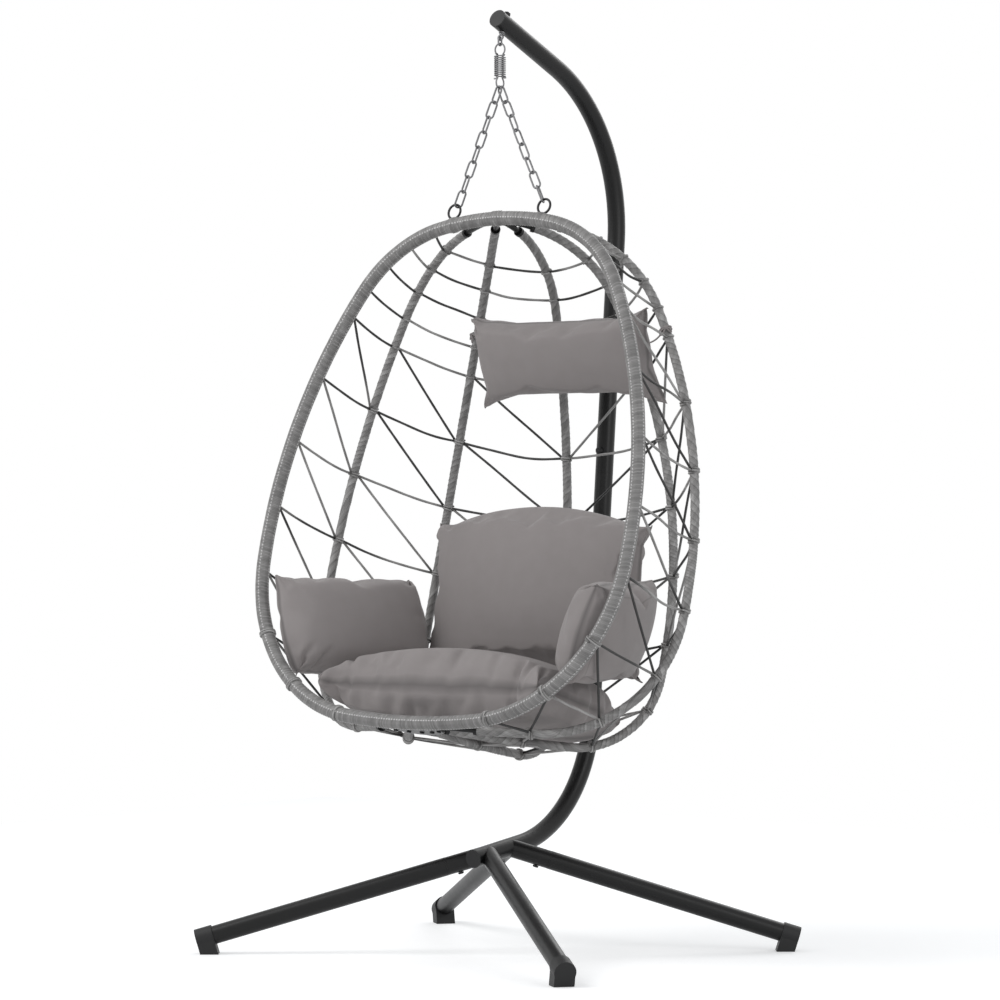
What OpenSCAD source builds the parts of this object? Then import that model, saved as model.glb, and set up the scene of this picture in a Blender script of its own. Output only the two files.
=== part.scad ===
// Hanging egg chair: a wound egg basket with a rope net and cushions, hung on
// two chains and a drawbar spring from a curved pole with four splayed legs.
// Millimetres. +Z is up, -Y is the open front, the pole stands behind at +Y.
// The origin is on the floor under the hook, in the middle of the footprint.

/* [Stand] */
// Outside diameter of the stand tubes
tube_d = 38; // [34:0.5:42]
// Wall of the stand tubes
tube_wall = 1.5; // [1.2:0.1:2.2]
// Height of the pole's axis at its front end
hub_z = 198; // [170:1:230]
// Upward pitch of the pole's foot stretch
foot_pitch = 7.6; // [5:0.1:10]
// Straight stretch of the pole from its front end to the low bend
foot_run = 160; // [158:1:180]
// Centreline radius of the low bend
low_bend_r = 284; // [270:1:330]
// Angle of the upright above the horizontal
upright_pitch = 85; // [84:0.1:87]
// Straight upright from the low bend to the end of the lower tube
lower_upright = 518; // [440:1:560]
// Straight upright from the start of the upper tube to the top bend
upper_upright = 499; // [440:1:560]
// Centreline radius of the top bend
top_bend_r = 347; // [310:1:380]
// Angle of the arm above the horizontal
arm_pitch = 22.8; // [18:0.1:28]
// Straight arm from the top bend to the end cap
arm_run = 219; // [190:1:250]
// Length of the necked end that goes into the upper tube
spigot_len = 85; // [60:1:110]
// Distance from the joint up to the cross bolt
joint_bolt_up = 45; // [30:1:55]
// Thickness of the end caps' round faces
cap_face = 3; // [2:0.5:5]

/* [Legs] */
// Angle of each leg from the left-right direction
leg_yaw = 37.7; // [34:0.1:42]
// Level reach of each leg, from the pole's axis to the foot's outer face
leg_reach = 598; // [540:1:640]
// Height of a leg's axis at the foot's outer face
leg_end_z = 27.5; // [26:0.5:34]
// Distance from the pole's front end back to the front pair of legs
front_pair = 47; // [42:1:60]
// Distance from the front pair back to the back pair
pair_gap = 71; // [60:1:80]
// Length of each welded stub from the pole's axis
stub_len = 88; // [75:1:110]
// Length of the leg's necked end inside the stub
leg_spigot = 47; // [40:1:49]
// Length of a foot along its leg
foot_len = 36; // [30:1:46]
// Wall of a foot round its leg
foot_wall = 3; // [2.5:0.5:5]

/* [Hook and spring] */
// Distance from the arm's end back to the eye bolt
eye_back = 23; // [18:0.5:32]
// Diameter of the eye bolt's shank
eye_bolt_d = 8; // [6:0.5:10]
// Distance from the arm's axis down the bolt to the middle of the eye
eye_drop = 31; // [30:0.5:36]
// Centreline radius of the eye
eye_r = 5.5; // [5.4:0.1:7]
// Wire diameter of the eye
eye_wire = 4.8; // [4:0.1:5]
// Wire diameter of the oval link
link_wire = 4; // [3.4:0.1:4.2]
// Centreline radius of the oval link's ends
link_r = 5; // [4.8:0.1:6]
// Centreline length of the oval link, bar to bar
link_len = 16.5; // [16:0.5:24]
// Wire diameter of the spring's two drawbars
bar_wire = 3.4; // [2.6:0.1:3.6]
// Centreline radius of the drawbars' round loops
loop_r = 12.5; // [11:0.5:15]
// Outside diameter of the spring coil
coil_d = 25; // [24:0.5:28]
// Wire diameter of the spring coil
coil_wire = 2.6; // [2:0.1:2.8]
// Number of turns in the spring coil
coil_turns = 10; // [7:1:14]
// Rise of the coil in one turn
coil_pitch = 4.3; // [3.6:0.1:5]

/* [Chains] */
// Number of links in each chain, an even number
chain_links = 8; // [6:2:10]
// Wire diameter of the chain
chain_wire = 4; // [3:0.1:4.4]
// Outside width of a chain link
chain_width = 20; // [18:0.5:24]
// Turn of each chain's first link about the chain
first_twist = 6; // [0:1:10]
// Turn of each chain's second link about the chain
second_twist = 26; // [0:1:28]
// Turn of the left chain's last link about the chain
left_twist = 26; // [-28:1:28]
// Turn of the right chain's last link about the chain
right_twist = -20; // [-28:1:28]
// Outside diameter of the two eyelets
eyelet_d = 36; // [32:0.5:42]
// Wire diameter of the eyelets
eyelet_wire = 5; // [4:0.1:5.5]
// Distance between the middles of the eyelets
eyelet_span = 234; // [200:1:260]

/* [Egg frame] */
// Distance from the hook axis forward to the hoop's top centre
hoop_y = -9; // [-20:0.5:10]
// Height of the hoop's top centre
hoop_z = 1512; // [1480:1:1530]
// Backward lean of the hoop's top
lean = 15.4; // [12:0.1:19]
// Length of the hoop from its top centre to its bottom centre
egg_len = 1066; // [1000:1:1110]
// Half width of the hoop
egg_half = 469; // [450:1:490]
// Outside diameter of the hoop's steel tube
hoop_tube_d = 22; // [18:0.5:24]
// Wall of the hoop's steel tube
hoop_tube_wall = 1.6; // [1.2:0.1:2.5]
// Outside diameter of the hoop with its wicker winding
hoop_wound_d = 29; // [27:0.5:34]
// Diameter of the ribs' steel rods
rib_rod_d = 12; // [10:0.5:13]
// Outside diameter of the ribs with their winding
rib_wound_d = 19; // [17:0.5:22]
// Reach of the outer pair of ribs
outer_reach = 517; // [500:1:535]
// Angle of the outer pair of ribs behind the hoop's plane
outer_angle = 25; // [22:0.5:28]
// Reach of the inner pair of ribs
inner_reach = 498; // [480:1:515]
// Angle of the inner pair of ribs behind the hoop's plane
inner_angle = 50.5; // [47:0.5:54]
// Reach of the centre rib
centre_reach = 472; // [455:1:485]
// Thickness of the two hub plates
hub_plate = 4; // [3:0.5:5]
// Radius of the two hub plates
hub_r = 68; // [66:1:80]

/* [Rope net] */
// Diameter of the rope
rope_d = 5.5; // [4.5:0.5:6.5]
// Place of the first rope row, as a share of a rib's length
row_first = 0.105; // [0.09:0.005:0.12]
// Distance between the close upper rows, as a share of a rib's length
row_step = 0.04; // [0.035:0.001:0.045]
// Distance between the wide lower levels, as a share of a rib's length
level_step = 0.088; // [0.08:0.001:0.092]

/* [Cushions] */
// Width of the seat cushion
seat_w = 640; // [560:5:645]
// Depth of the seat cushion
seat_d = 365; // [330:5:370]
// Thickness of the seat cushion
seat_t = 130; // [100:5:135]
// Width of the back cushion
back_w = 600; // [520:5:605]
// Height of the back cushion
back_h = 417; // [370:1:420]
// Thickness of the back cushion
back_t = 120; // [90:5:125]
// Length of each arm cushion
arm_len = 376; // [320:2:380]
// Height of each arm cushion
arm_h = 236; // [200:2:238]
// Thickness of each arm cushion
arm_t = 114; // [90:2:116]
// Width of the head pillow
pillow_w = 470; // [420:5:475]
// Height of the head pillow
pillow_h = 203; // [180:1:205]
// Thickness of the head pillow
pillow_t = 92; // [76:2:94]

/* [Hidden] */
$fn = 48;
// seam between pieces that sit on each other
gap = 0.3;
// overshoot of a cut past the face it opens
past = 1;

tube_r = tube_d / 2;
bore_r = tube_r - tube_wall;
spigot_r = bore_r - 0.15;
cap_plug = 14;
cap_rim = 1;
hoop_r = hoop_wound_d / 2;
hoop_tube_r = hoop_tube_d / 2;
wrap_bore = hoop_tube_r + gap;
rod_r = rib_rod_d / 2;
rib_r = rib_wound_d / 2;
rope_r = rope_d / 2;

STEEL = "#2b2c2d";
PLASTIC = "#242526";
WIRE = "#6e6f70";
WICKER = "#85827f";
CLOTH = "#8d8885";

// ---- Flat paths of straights and arcs -------------------------------------
// A state is [x, y, heading]; a step is [length, 0] or [radius, turn].
function left_of(h) = [-sin(h), cos(h)];
function after(st, step) =
    step[1] == 0 ? [st[0] + step[0] * cos(st[2]), st[1] + step[0] * sin(st[2]), st[2]] :
    let (side = sign(step[1]), h2 = st[2] + step[1],
        centre = [st[0], st[1]] + side * step[0] * left_of(st[2]),
        end = centre - side * step[0] * left_of(h2))
    [end[0], end[1], h2];
function state_at(st, steps, n) = n == 0 ? st : after(state_at(st, steps, n - 1), steps[n - 1]);
function step_length(step) = step[1] == 0 ? step[0] : step[0] * abs(step[1]) * PI / 180;
function path_length(steps, n) = n == 0 ? 0 : path_length(steps, n - 1) + step_length(steps[n - 1]);
// the state a given distance along the path
function along(st, steps, dist, n = 0) =
    let (here = step_length(steps[n]))
    (dist <= here || n == len(steps) - 1) ?
        after(st, steps[n][1] == 0 ? [dist, 0] : [steps[n][0], steps[n][1] * dist / here]) :
        along(after(st, steps[n]), steps, dist - here, n + 1);
// the steps between two distances along a path
function cut_steps(steps, from, to, n = 0, run = 0) =
    n == len(steps) ? [] :
    let (here = step_length(steps[n]), a = max(from - run, 0), b = min(to - run, here),
        piece = b - a <= 4 * bead_set ? [] :
            [steps[n][1] == 0 ? [b - a, 0] : [steps[n][0], steps[n][1] * (b - a) / here]])
    concat(piece, cut_steps(steps, from, to, n + 1, run + here));

// a round bar carried along a path in the XY plane; a slight bead joins each stretch to the next
bead = 0.05;
bead_set = 0.15;
module bent_bar(start, steps, r, closed = false) {
    last = len(steps) - 1;
    for (n = [0 : last]) {
        st = state_at(start, steps, n);
        here = step_length(steps[n]);
        from = n == 0 && !closed ? 0 : bead_set;
        len = here - from - (n == last && !closed ? 0 : bead_set);
        if (steps[n][1] == 0) {
            translate([st[0], st[1], 0]) rotate([0, 0, st[2]]) translate([from, 0, 0]) rotate([0, 90, 0])
                cylinder(h = len, r = r);
        } else {
            side = sign(steps[n][1]);
            centre = [st[0], st[1]] + side * steps[n][0] * left_of(st[2]);
            turn = abs(steps[n][1]);
            skip = turn * (side > 0 ? from : here - from - len) / here;
            first = side > 0 ? st[2] - 90 : st[2] + 90 - turn;
            translate([centre[0], centre[1], 0]) rotate([0, 0, first + skip])
                rotate_extrude(angle = turn * len / here, $fn = steps[n][0] > 100 ? 288 : 48)
                    translate([steps[n][0], 0]) circle(r, $fn = 48);
        }
        if (n > 0 || closed) translate([st[0], st[1], 0]) rotate([0, 0, st[2]]) rotate([0, 90, 0])
            sphere(r + bead);
    }
}

// a bar between two points
module rod(p, q, r) {
    v = q - p;
    yaw = atan2(v[1], v[0]);
    fall = acos(v[2] / norm(v));
    translate(p) rotate([0, fall, yaw]) cylinder(h = norm(v), r = r);
}

// places a ring's axis along a direction at a point
module facing(p, v) {
    translate(p) rotate([0, acos(v[2] / norm(v)), atan2(v[1], v[0])]) children();
}

module ring(centre_r, wire) {
    rotate_extrude() translate([centre_r, 0]) circle(d = wire);
}

// a chain link: two half rings and two straight sides, length and width on the wire's centreline
module oval(length, end_r, wire) {
    side = length - 2 * end_r;
    for (end = [-1, 1]) {
        translate([end * side / 2, 0, 0]) rotate([0, 0, 90 - 90 * end - 90]) rotate_extrude(angle = 180)
            translate([end_r, 0]) circle(d = wire);
        translate([-side / 2, end * end_r, 0]) rotate([0, 90, 0]) cylinder(h = side, d = wire);
    }
}

module hex_prism(across, h) {
    rotate([0, 0, 30]) cylinder(h = h, d = across / cos(30), $fn = 6);
}

// ---- The pole --------------------------------------------------------------
bend_low = upright_pitch - foot_pitch;
bend_top = 180 - arm_pitch - upright_pitch;
pole_steps = [[foot_run, 0], [low_bend_r, bend_low], [lower_upright, 0], [upper_upright, 0],
    [top_bend_r, bend_top], [arm_run, 0]];
lower_steps = [pole_steps[0], pole_steps[1], [lower_upright - gap, 0]];
upper_steps = [pole_steps[3], pole_steps[4], pole_steps[5]];
arm_heading = 180 - arm_pitch;
// the arm's end when the path starts at y = 0
raw_end = state_at([0, hub_z, foot_pitch], pole_steps, 6);
// the hook hangs at y = 0: the low side of the eye, square below the arm's axis
hook_arm = eye_drop + eye_r;
raw_hook_y = raw_end[0] + eye_back * cos(arm_pitch) - hook_arm * sin(arm_pitch);
pole_start = [-raw_hook_y, hub_z, foot_pitch];
joint_state = state_at(pole_start, pole_steps, 3);
arm_end = state_at(pole_start, pole_steps, 6);

module in_side_plane() rotate([90, 0, 90]) children();

// the bore of a tube along a path, run past both its ends
module bore(start, steps, r) {
    back_off = [start[0] - past * cos(start[2]), start[1] - past * sin(start[2]), start[2]];
    last = len(steps) - 1;
    head = steps[0][1] == 0 ? [[steps[0][0] + past, 0]] : [[past, 0], steps[0]];
    tail = steps[last][1] == 0 ? [[steps[last][0] + past, 0]] : [steps[last], [past, 0]];
    bent_bar(back_off, concat(head, [for (n = [1 : 1 : last - 1]) steps[n]], last == 0 ? [] : tail), r);
}

// an open tube along a path
module tube(start, steps, r_out, r_in) {
    difference() {
        bent_bar(start, steps, r_out);
        bore(start, steps, r_in);
    }
}

// a necked tube end along X from 0, rooted in the wall of the tube behind it
module neck(len) {
    root = 4 * tube_wall;
    difference() {
        union() {
            x_rod(-root, -gap, bore_r + tube_wall / 2);
            x_rod(-root + past, len, spigot_r);
        }
        x_rod(-root - past, len + past, spigot_r - tube_wall);
    }
}

module x_rod(from, to, r) {
    translate([from, 0, 0]) rotate([0, 90, 0]) cylinder(h = to - from, r = r);
}

joint_bolt_d = 8;
leg_bolt_d = 6;
bolt_play = 0.4;
nut_play = 0.2;
leg_bolt_back = 24;
stub_r = tube_r - 0.3;

// X runs square through the pole at the joint's bolt, towards the back
module joint_bolt_place() {
    up = along(joint_state, upper_steps, joint_bolt_up);
    in_side_plane() translate([up[0], up[1], 0]) rotate([0, 0, up[2] - 90]) children();
}

function pair_state(pair) = along(pole_start, pole_steps, front_pair + pair * pair_gap);
function leg_turn(side, pair) = pair == 0 ? (side < 0 ? 180 + leg_yaw : -leg_yaw) :
    (side < 0 ? 180 - leg_yaw : leg_yaw);
function leg_fall(pair) = atan((pair_state(pair)[1] - leg_end_z) / leg_reach);
function leg_length(pair) = leg_reach / cos(leg_fall(pair));

// X runs along a leg's axis, from the pole's axis outwards and down
module on_leg(side, pair) {
    st = pair_state(pair);
    translate([0, st[0], st[1]]) rotate([0, 0, leg_turn(side, pair)]) rotate([0, leg_fall(pair), 0])
        children();
}

module each_leg() {
    for (pair = [0, 1]) for (side = [-1, 1]) on_leg(side, pair) children();
}

// four stubs for the legs are welded to the pole's sides
module lower_pole() color(STEEL) {
    difference() {
        union() {
            in_side_plane() bent_bar(pole_start, lower_steps, tube_r);
            each_leg() x_rod(0, stub_len, stub_r);
        }
        in_side_plane() bore(pole_start, lower_steps, bore_r);
        each_leg() x_rod(stub_len - leg_spigot - 2, stub_len + past, bore_r);
        each_leg() translate([stub_len - leg_bolt_back, 0, -tube_d])
            cylinder(h = tube_d, d = leg_bolt_d + bolt_play);
    }
    difference() {
        in_side_plane() translate([joint_state[0], joint_state[1], 0]) rotate([0, 0, joint_state[2]])
            neck(spigot_len);
        joint_bolt_place() x_rod(-tube_d, tube_d, (joint_bolt_d + bolt_play) / 2);
    }
}

module upper_pole() color(STEEL) {
    difference() {
        in_side_plane() tube(joint_state, upper_steps, tube_r, bore_r);
        joint_bolt_place() x_rod(-tube_d, tube_d, (joint_bolt_d + bolt_play) / 2);
        eye_place() x_rod(-tube_d, tube_d, (eye_bolt_d + bolt_play) / 2);
    }
}

// a push-in cap: a round face with a slim rim, and a plug inside the tube; X points out of the tube
module end_cap() {
    plug_r = bore_r - nut_play;
    x_rod(0, cap_face, tube_r);
    difference() {
        x_rod(-cap_plug, cap_face / 2, plug_r);
        x_rod(-cap_plug - past, -cap_rim, plug_r - 2);
    }
}

module pole_bottom_cap() color(PLASTIC) {
    in_side_plane() translate([pole_start[0], pole_start[1], 0]) rotate([0, 0, pole_start[2] + 180])
        end_cap();
}

module pole_top_cap() color(PLASTIC) {
    in_side_plane() translate([arm_end[0], arm_end[1], 0]) rotate([0, 0, arm_end[2]]) end_cap();
}

joint_head_h = 5;
joint_nut_h = 6.5;
joint_cap_h = 6;
module joint_bolt() color(STEEL) {
    joint_bolt_place() {
        x_rod(-tube_r - gap, tube_r + joint_nut_h + 2, joint_bolt_d / 2);
        // domed cap head towards the seat
        translate([-tube_r - gap, 0, 0]) rotate([0, -90, 0]) {
            cylinder(h = joint_head_h, d = 16);
            translate([0, 0, joint_head_h]) cylinder(h = 2, d1 = 16, d2 = 11);
        }
    }
}

module joint_nut() color(WIRE) {
    joint_bolt_place() translate([tube_r + gap, 0, 0]) rotate([0, 90, 0]) difference() {
        hex_prism(13, joint_nut_h);
        translate([0, 0, -past]) cylinder(h = joint_nut_h + 2 * past, d = joint_bolt_d + nut_play);
    }
}

// ---- Legs and feet ---------------------------------------------------------
foot_floor = 3;
module leg(side, pair) color(STEEL) {
    tube_from = stub_len + gap;
    tube_to = leg_length(pair) - foot_floor - gap;
    on_leg(side, pair) difference() {
        union() {
            difference() {
                x_rod(tube_from, tube_to, tube_r);
                x_rod(tube_from - past, tube_to + past, bore_r);
            }
            translate([tube_from, 0, 0]) rotate([0, 0, 180]) neck(leg_spigot);
        }
        translate([stub_len - leg_bolt_back, 0, -tube_d]) cylinder(h = tube_d, d = leg_bolt_d + bolt_play);
    }
}
module leg_front_left() leg(-1, 0);
module leg_front_right() leg(1, 0);
module leg_back_left() leg(-1, 1);
module leg_back_right() leg(1, 1);

// a moulded boot: a round sleeve and a square block below it, cut level with the floor
module foot(side, pair) color(PLASTIC) {
    end = leg_length(pair);
    sleeve_r = tube_r + foot_wall;
    block_w = 2 * sleeve_r - 3;
    difference() {
        on_leg(side, pair) {
            x_rod(end - foot_len, end, sleeve_r);
            translate([end - foot_len, -block_w / 2, -3 * tube_d]) cube([foot_len, block_w, 3 * tube_d]);
        }
        on_leg(side, pair) x_rod(end - foot_len - past, end - foot_floor, tube_r + gap);
        translate([-2 * leg_reach, -2 * leg_reach, -6 * tube_d])
            cube([4 * leg_reach, 4 * leg_reach, 6 * tube_d]);
    }
}
module foot_front_left() foot(-1, 0);
module foot_front_right() foot(1, 0);
module foot_back_left() foot(-1, 1);
module foot_back_right() foot(1, 1);

leg_nut_h = 5;
module leg_bolts() color(STEEL) {
    each_leg() translate([stub_len - leg_bolt_back, 0, 0]) rotate([180, 0, 0]) {
        shank_from = spigot_r - tube_wall - leg_nut_h - 2;
        translate([0, 0, shank_from]) cylinder(h = tube_r + gap - shank_from, d = leg_bolt_d);
        translate([0, 0, tube_r + gap]) cylinder(h = 3, d = 12);
        translate([0, 0, tube_r + gap + 3]) cylinder(h = 1, d1 = 12, d2 = 9);
    }
}

module leg_nuts() color(WIRE) {
    seat_z = sqrt(pow(spigot_r - tube_wall, 2) - 36) - gap;
    each_leg() translate([stub_len - leg_bolt_back, 0, -seat_z]) difference() {
        hex_prism(10, leg_nut_h);
        translate([0, 0, -past]) cylinder(h = leg_nut_h + 2 * past, d = leg_bolt_d + nut_play);
    }
}

// ---- Hook, link and spring -------------------------------------------------
arm_at = [arm_end[0] + eye_back * cos(arm_pitch), arm_end[1] - eye_back * sin(arm_pitch)];
// X runs down the eye bolt from the arm's axis
module eye_place() {
    in_side_plane() translate([arm_at[0], arm_at[1], 0]) rotate([0, 0, arm_heading + 90]) children();
}
eye_nut_h = 6.5;
eye_flange_h = 2.5;
hook_z = arm_at[1] + hook_arm * left_of(arm_heading)[1];
sway_z = hook_z + eye_wire / 2 + gap + link_wire / 2;
link_low_z = sway_z - link_len;
swing_z = link_low_z + link_wire / 2 + gap + bar_wire / 2;

module eye_bolt() color(STEEL) {
    eye_place() {
        x_rod(-tube_r - gap - eye_nut_h - 2, eye_drop - eye_r, eye_bolt_d / 2);
        x_rod(tube_r + gap, tube_r + gap + eye_flange_h, eye_bolt_d / 2 + 2.5);
        translate([eye_drop, 0, 0]) rotate([90, 0, 0]) ring(eye_r, eye_wire);
    }
}

module eye_nut() color(STEEL) {
    eye_place() translate([-tube_r - gap, 0, 0]) rotate([0, -90, 0]) difference() {
        hex_prism(13, eye_nut_h);
        translate([0, 0, -past]) cylinder(h = eye_nut_h + 2 * past, d = eye_bolt_d + nut_play);
    }
}

module hook_link() color(STEEL) {
    in_side_plane() translate([0, sway_z - link_len / 2, 0]) rotate([0, 0, 90])
        oval(link_len, link_r, link_wire);
}

// drawbars: a round loop that narrows to two legs, which pass through the coil and hook over its far end
coil_r = (coil_d - coil_wire) / 2;
hook_r = (bar_wire + coil_wire) / 2 + gap;
leg_x = coil_r - hook_r;
neck_r = 4;
hook_end = 4;
neck_angle = acos((leg_x + neck_r) / (loop_r + neck_r));
loop_drop = loop_r + (loop_r + neck_r) * sin(neck_angle);
coil_len = coil_turns * coil_pitch + coil_wire;
coil_top_z = swing_z - loop_drop;
coil_low_z = coil_top_z - coil_len;
low_bar_z = coil_low_z - loop_drop;

// a drawbar in the XY plane: from one hooked end up its leg, round the loop and down again; the
// middle of its loop is at the origin
module drawbar() {
    leg = coil_len - coil_wire / 2;
    foot_x = leg_x + hook_r + hook_end;
    foot_y = -loop_drop - leg - hook_r;
    bent_bar([foot_x, foot_y, 180], [[hook_end, 0], [hook_r, -90], [leg, 0], [neck_r, -neck_angle],
        [loop_r, 180 + 2 * neck_angle], [neck_r, -neck_angle], [leg, 0], [hook_r, -90], [hook_end, 0]],
        bar_wire / 2);
}

module upper_drawbar() color(WIRE) {
    translate([0, 0, swing_z]) rotate([90, 0, 0]) drawbar();
}
module lower_drawbar() color(WIRE) {
    translate([0, 0, low_bar_z]) rotate([0, 0, 90]) rotate([-90, 0, 0]) drawbar();
}

// the coil: one unbroken six-sided tube, eight rings to a turn, its first and last third of a turn level
COIL_RINGS = 8;
COIL_SIDES = 6;
COIL_LEVEL = 0.3;
function coil_rise(t) = coil_pitch * coil_turns * min(max(t - COIL_LEVEL, 0) / (coil_turns - 2 * COIL_LEVEL), 1);
function coil_point(t) = [coil_r * cos(360 * t), coil_r * sin(360 * t),
    coil_low_z + coil_wire / 2 + coil_rise(t)];
coil_body = [for (i = [0 : coil_turns * COIL_RINGS]) coil_point(i / COIL_RINGS)];
coil_path = concat([coil_body[0] - [0, coil_wire, 0]], coil_body,
    [coil_body[len(coil_body) - 1] + [0, coil_wire, 0]]);
function coil_way(i) = i == 0 || i == len(coil_path) - 1 ? [0, 1, 0] :
    (coil_path[i + 1] - coil_path[i - 1]) / norm(coil_path[i + 1] - coil_path[i - 1]);
function coil_ring(i) =
    let (way = coil_way(i), flat = [coil_path[i][0], coil_path[i][1], 0], out = flat / norm(flat),
        up = cross(way, out) / norm(cross(way, out)), side = cross(up, way))
    [for (k = [0 : COIL_SIDES - 1]) coil_path[i] + coil_wire / 2 * (cos(60 * k) * side + sin(60 * k) * up)];
// the least distance between the surfaces of neighbouring turns
coil_gap = min([for (i = [0 : len(coil_path) - 1])
    for (j = [i + COIL_RINGS - 2 : 1 : min(i + COIL_RINGS + 2, len(coil_path) - 1)])
        norm(coil_path[i] - coil_path[j])]) - coil_wire;
echo(coil_least_gap = coil_gap);

module spring_coil() color(WIRE) {
    n = len(coil_path);
    points = [for (i = [0 : n - 1]) each coil_ring(i)];
    faces = concat(
        [for (i = [0 : n - 2]) for (k = [0 : COIL_SIDES - 1])
            let (a = i * COIL_SIDES + k, b = i * COIL_SIDES + (k + 1) % COIL_SIDES)
            each [[a, a + COIL_SIDES, b], [b, a + COIL_SIDES, b + COIL_SIDES]]],
        [for (k = [1 : COIL_SIDES - 2]) each [[0, k, k + 1],
            [(n - 1) * COIL_SIDES, (n - 1) * COIL_SIDES + k + 1, (n - 1) * COIL_SIDES + k]]]);
    polyhedron(points, faces, convexity = 6);
}

// ---- Hoop outline and egg frame --------------------------------------------
// Each outline runs from the egg's top to its bottom as five arcs. It leaves the top square to the
// axis and turns through the given headings; the last three radii follow from length and reach.
HEADINGS = [78, 30, -3, -84];
function egg_steps(reach, r1, r2, r0, heads = HEADINGS) =
    let (h = concat([90], heads, [-90]),
        out = [for (i = [0 : 4]) cos(max(h[i + 1], 0)) - cos(max(h[i], 0))],
        all = [for (i = [0 : 4]) cos(h[i + 1]) - cos(h[i])],
        down = [for (i = [0 : 4]) sin(h[i]) - sin(h[i + 1])],
        a1 = [out[2], out[3], out[4]], a2 = [all[2], all[3], all[4]], a3 = [down[2], down[3], down[4]],
        b = [reach - r0 - r1 * out[0] - r2 * out[1], -r1 * all[0] - r2 * all[1],
            egg_len - r1 * down[0] - r2 * down[1]],
        last = (b[0] * cross(a2, a3) + b[1] * cross(a3, a1) + b[2] * cross(a1, a2)) / (a1 * cross(a2, a3)),
        r = [r1, r2, last[0], last[1], last[2]])
    [for (i = [0 : 4]) [r[i], h[i + 1] - h[i]]];

drain_d = 4;
drain_apart = 180;
hoop_top_r = 689;
hoop_shoulder_r = 279;
hoop_steps = egg_steps(egg_half, hoop_top_r, hoop_shoulder_r, 0);

clip_w = 7;
// a winding starts past its clip, which clears the hub plate
function wound_from(r0) = hub_r + clip_w + 6 - r0;
// one row per rib: angle from the right, steps, distance of its ends from the egg's axis, winding start
outer_r0 = 52;
inner_r0 = 38;
centre_r0 = 32;
outer_steps = egg_steps(outer_reach, 560, 294, outer_r0);
inner_steps = egg_steps(inner_reach, 400, 262, inner_r0, [82, 36, -3, -84]);
centre_steps = egg_steps(centre_reach, 330, 215, centre_r0, [82, 26, 6, -84]);
RIBS = [
    [180 - outer_angle, outer_steps, outer_r0, wound_from(outer_r0) + 58],
    [180 - inner_angle, inner_steps, inner_r0, wound_from(inner_r0)],
    [90, centre_steps, centre_r0, wound_from(centre_r0)],
    [inner_angle, inner_steps, inner_r0, wound_from(inner_r0)],
    [outer_angle, outer_steps, outer_r0, wound_from(outer_r0) + 58]];

module egg() {
    translate([0, hoop_y, hoop_z]) rotate([-lean, 0, 0]) children();
}
// puts a path drawn as (distance down, distance out) onto the plane at an angle round the egg's axis
module on_meridian(angle) {
    rotate([0, 0, angle - 90]) rotate([0, 90, 0]) children();
}

hub_in = rod_r + gap;
module hub_slots() {
    from = sqrt(pow(hoop_tube_r + gap, 2) - pow(hub_in + hub_plate, 2)) - gap;
    for (z = [hub_in, -egg_len - hub_in - hub_plate])
        translate([-hub_r - 2 * gap, from, z - gap])
            cube([2 * hub_r + 4 * gap, hoop_wound_d, hub_plate + 2 * gap]);
}

// the hoop is one closed line: down its right half, across the foot and up its left half
hoop_last = len(hoop_steps) - 1;
hoop_turn_one = state_at([0, 0, 90], hoop_steps, 1);
hoop_start = [hoop_turn_one[0], -hoop_turn_one[1], 180 - hoop_turn_one[2]];
function twice(step) = [step[0], 2 * step[1]];
hoop_loop = concat([twice(hoop_steps[0])], [for (n = [1 : hoop_last - 1]) hoop_steps[n]],
    [twice(hoop_steps[hoop_last])], [for (n = [hoop_last - 1 : -1 : 1]) hoop_steps[n]]);
module hoop_bar(r) {
    on_meridian(0) bent_bar(hoop_start, hoop_loop, r, closed = true);
}

// a steel tube with two drain holes at its foot
module hoop_tube() color(STEEL) egg() difference() {
    hoop_bar(hoop_tube_r);
    hoop_bar(hoop_tube_r - hoop_tube_wall);
    for (side = [-1, 1]) translate([side * drain_apart / 2, 0, -egg_len - hoop_tube_d])
        cylinder(h = hoop_tube_d, d = drain_d);
}

module hoop_wrap() color(WICKER) egg() difference() {
    union() {
        hoop_bar(hoop_r);
        // thick band over the upper hub, and mounds where the eyelets stand
        rotate([0, 90, 0]) translate([0, 0, -band_w / 2]) cylinder(h = band_w, r = hoop_r + 1.6);
        for (side = [-1, 1]) eyelet_place(side) translate([0, 0, -eyelet_up]) rotate([0, 90, 0])
            sphere(r = hoop_r + 3.2);
    }
    hoop_bar(wrap_bore);
    hub_slots();
    for (side = [-1, 1]) eyelet_place(side) rotate([90, 0, 0]) ring(eyelet_r, eyelet_wire + 2 * gap);
}
band_w = 22;

eyelet_r = (eyelet_d - eyelet_wire) / 2;
eyelet_up = hoop_tube_r + 3 * gap + eyelet_d / 2;
eyelet_angle = asin(eyelet_span / 2 / (hoop_top_r + eyelet_up));
module eyelet_place(side) {
    translate([0, 0, -hoop_top_r]) rotate([0, side * eyelet_angle, 0])
        translate([0, 0, hoop_top_r + eyelet_up]) children();
}
module eyelet(side) color(STEEL) egg() eyelet_place(side) rotate([90, 0, 0]) ring(eyelet_r, eyelet_wire);
module eyelet_left() eyelet(-1);
module eyelet_right() eyelet(1);

// ---- Chains ----------------------------------------------------------------
function egg_point(p) = [p[0], hoop_y + p[1] * cos(lean) + p[2] * sin(lean),
    hoop_z - p[1] * sin(lean) + p[2] * cos(lean)];
function egg_way(v) = [v[0], v[1] * cos(lean) + v[2] * sin(lean), -v[1] * sin(lean) + v[2] * cos(lean)];
function unit(v) = v / norm(v);
chain_end_r = (chain_width - chain_wire) / 2;
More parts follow.
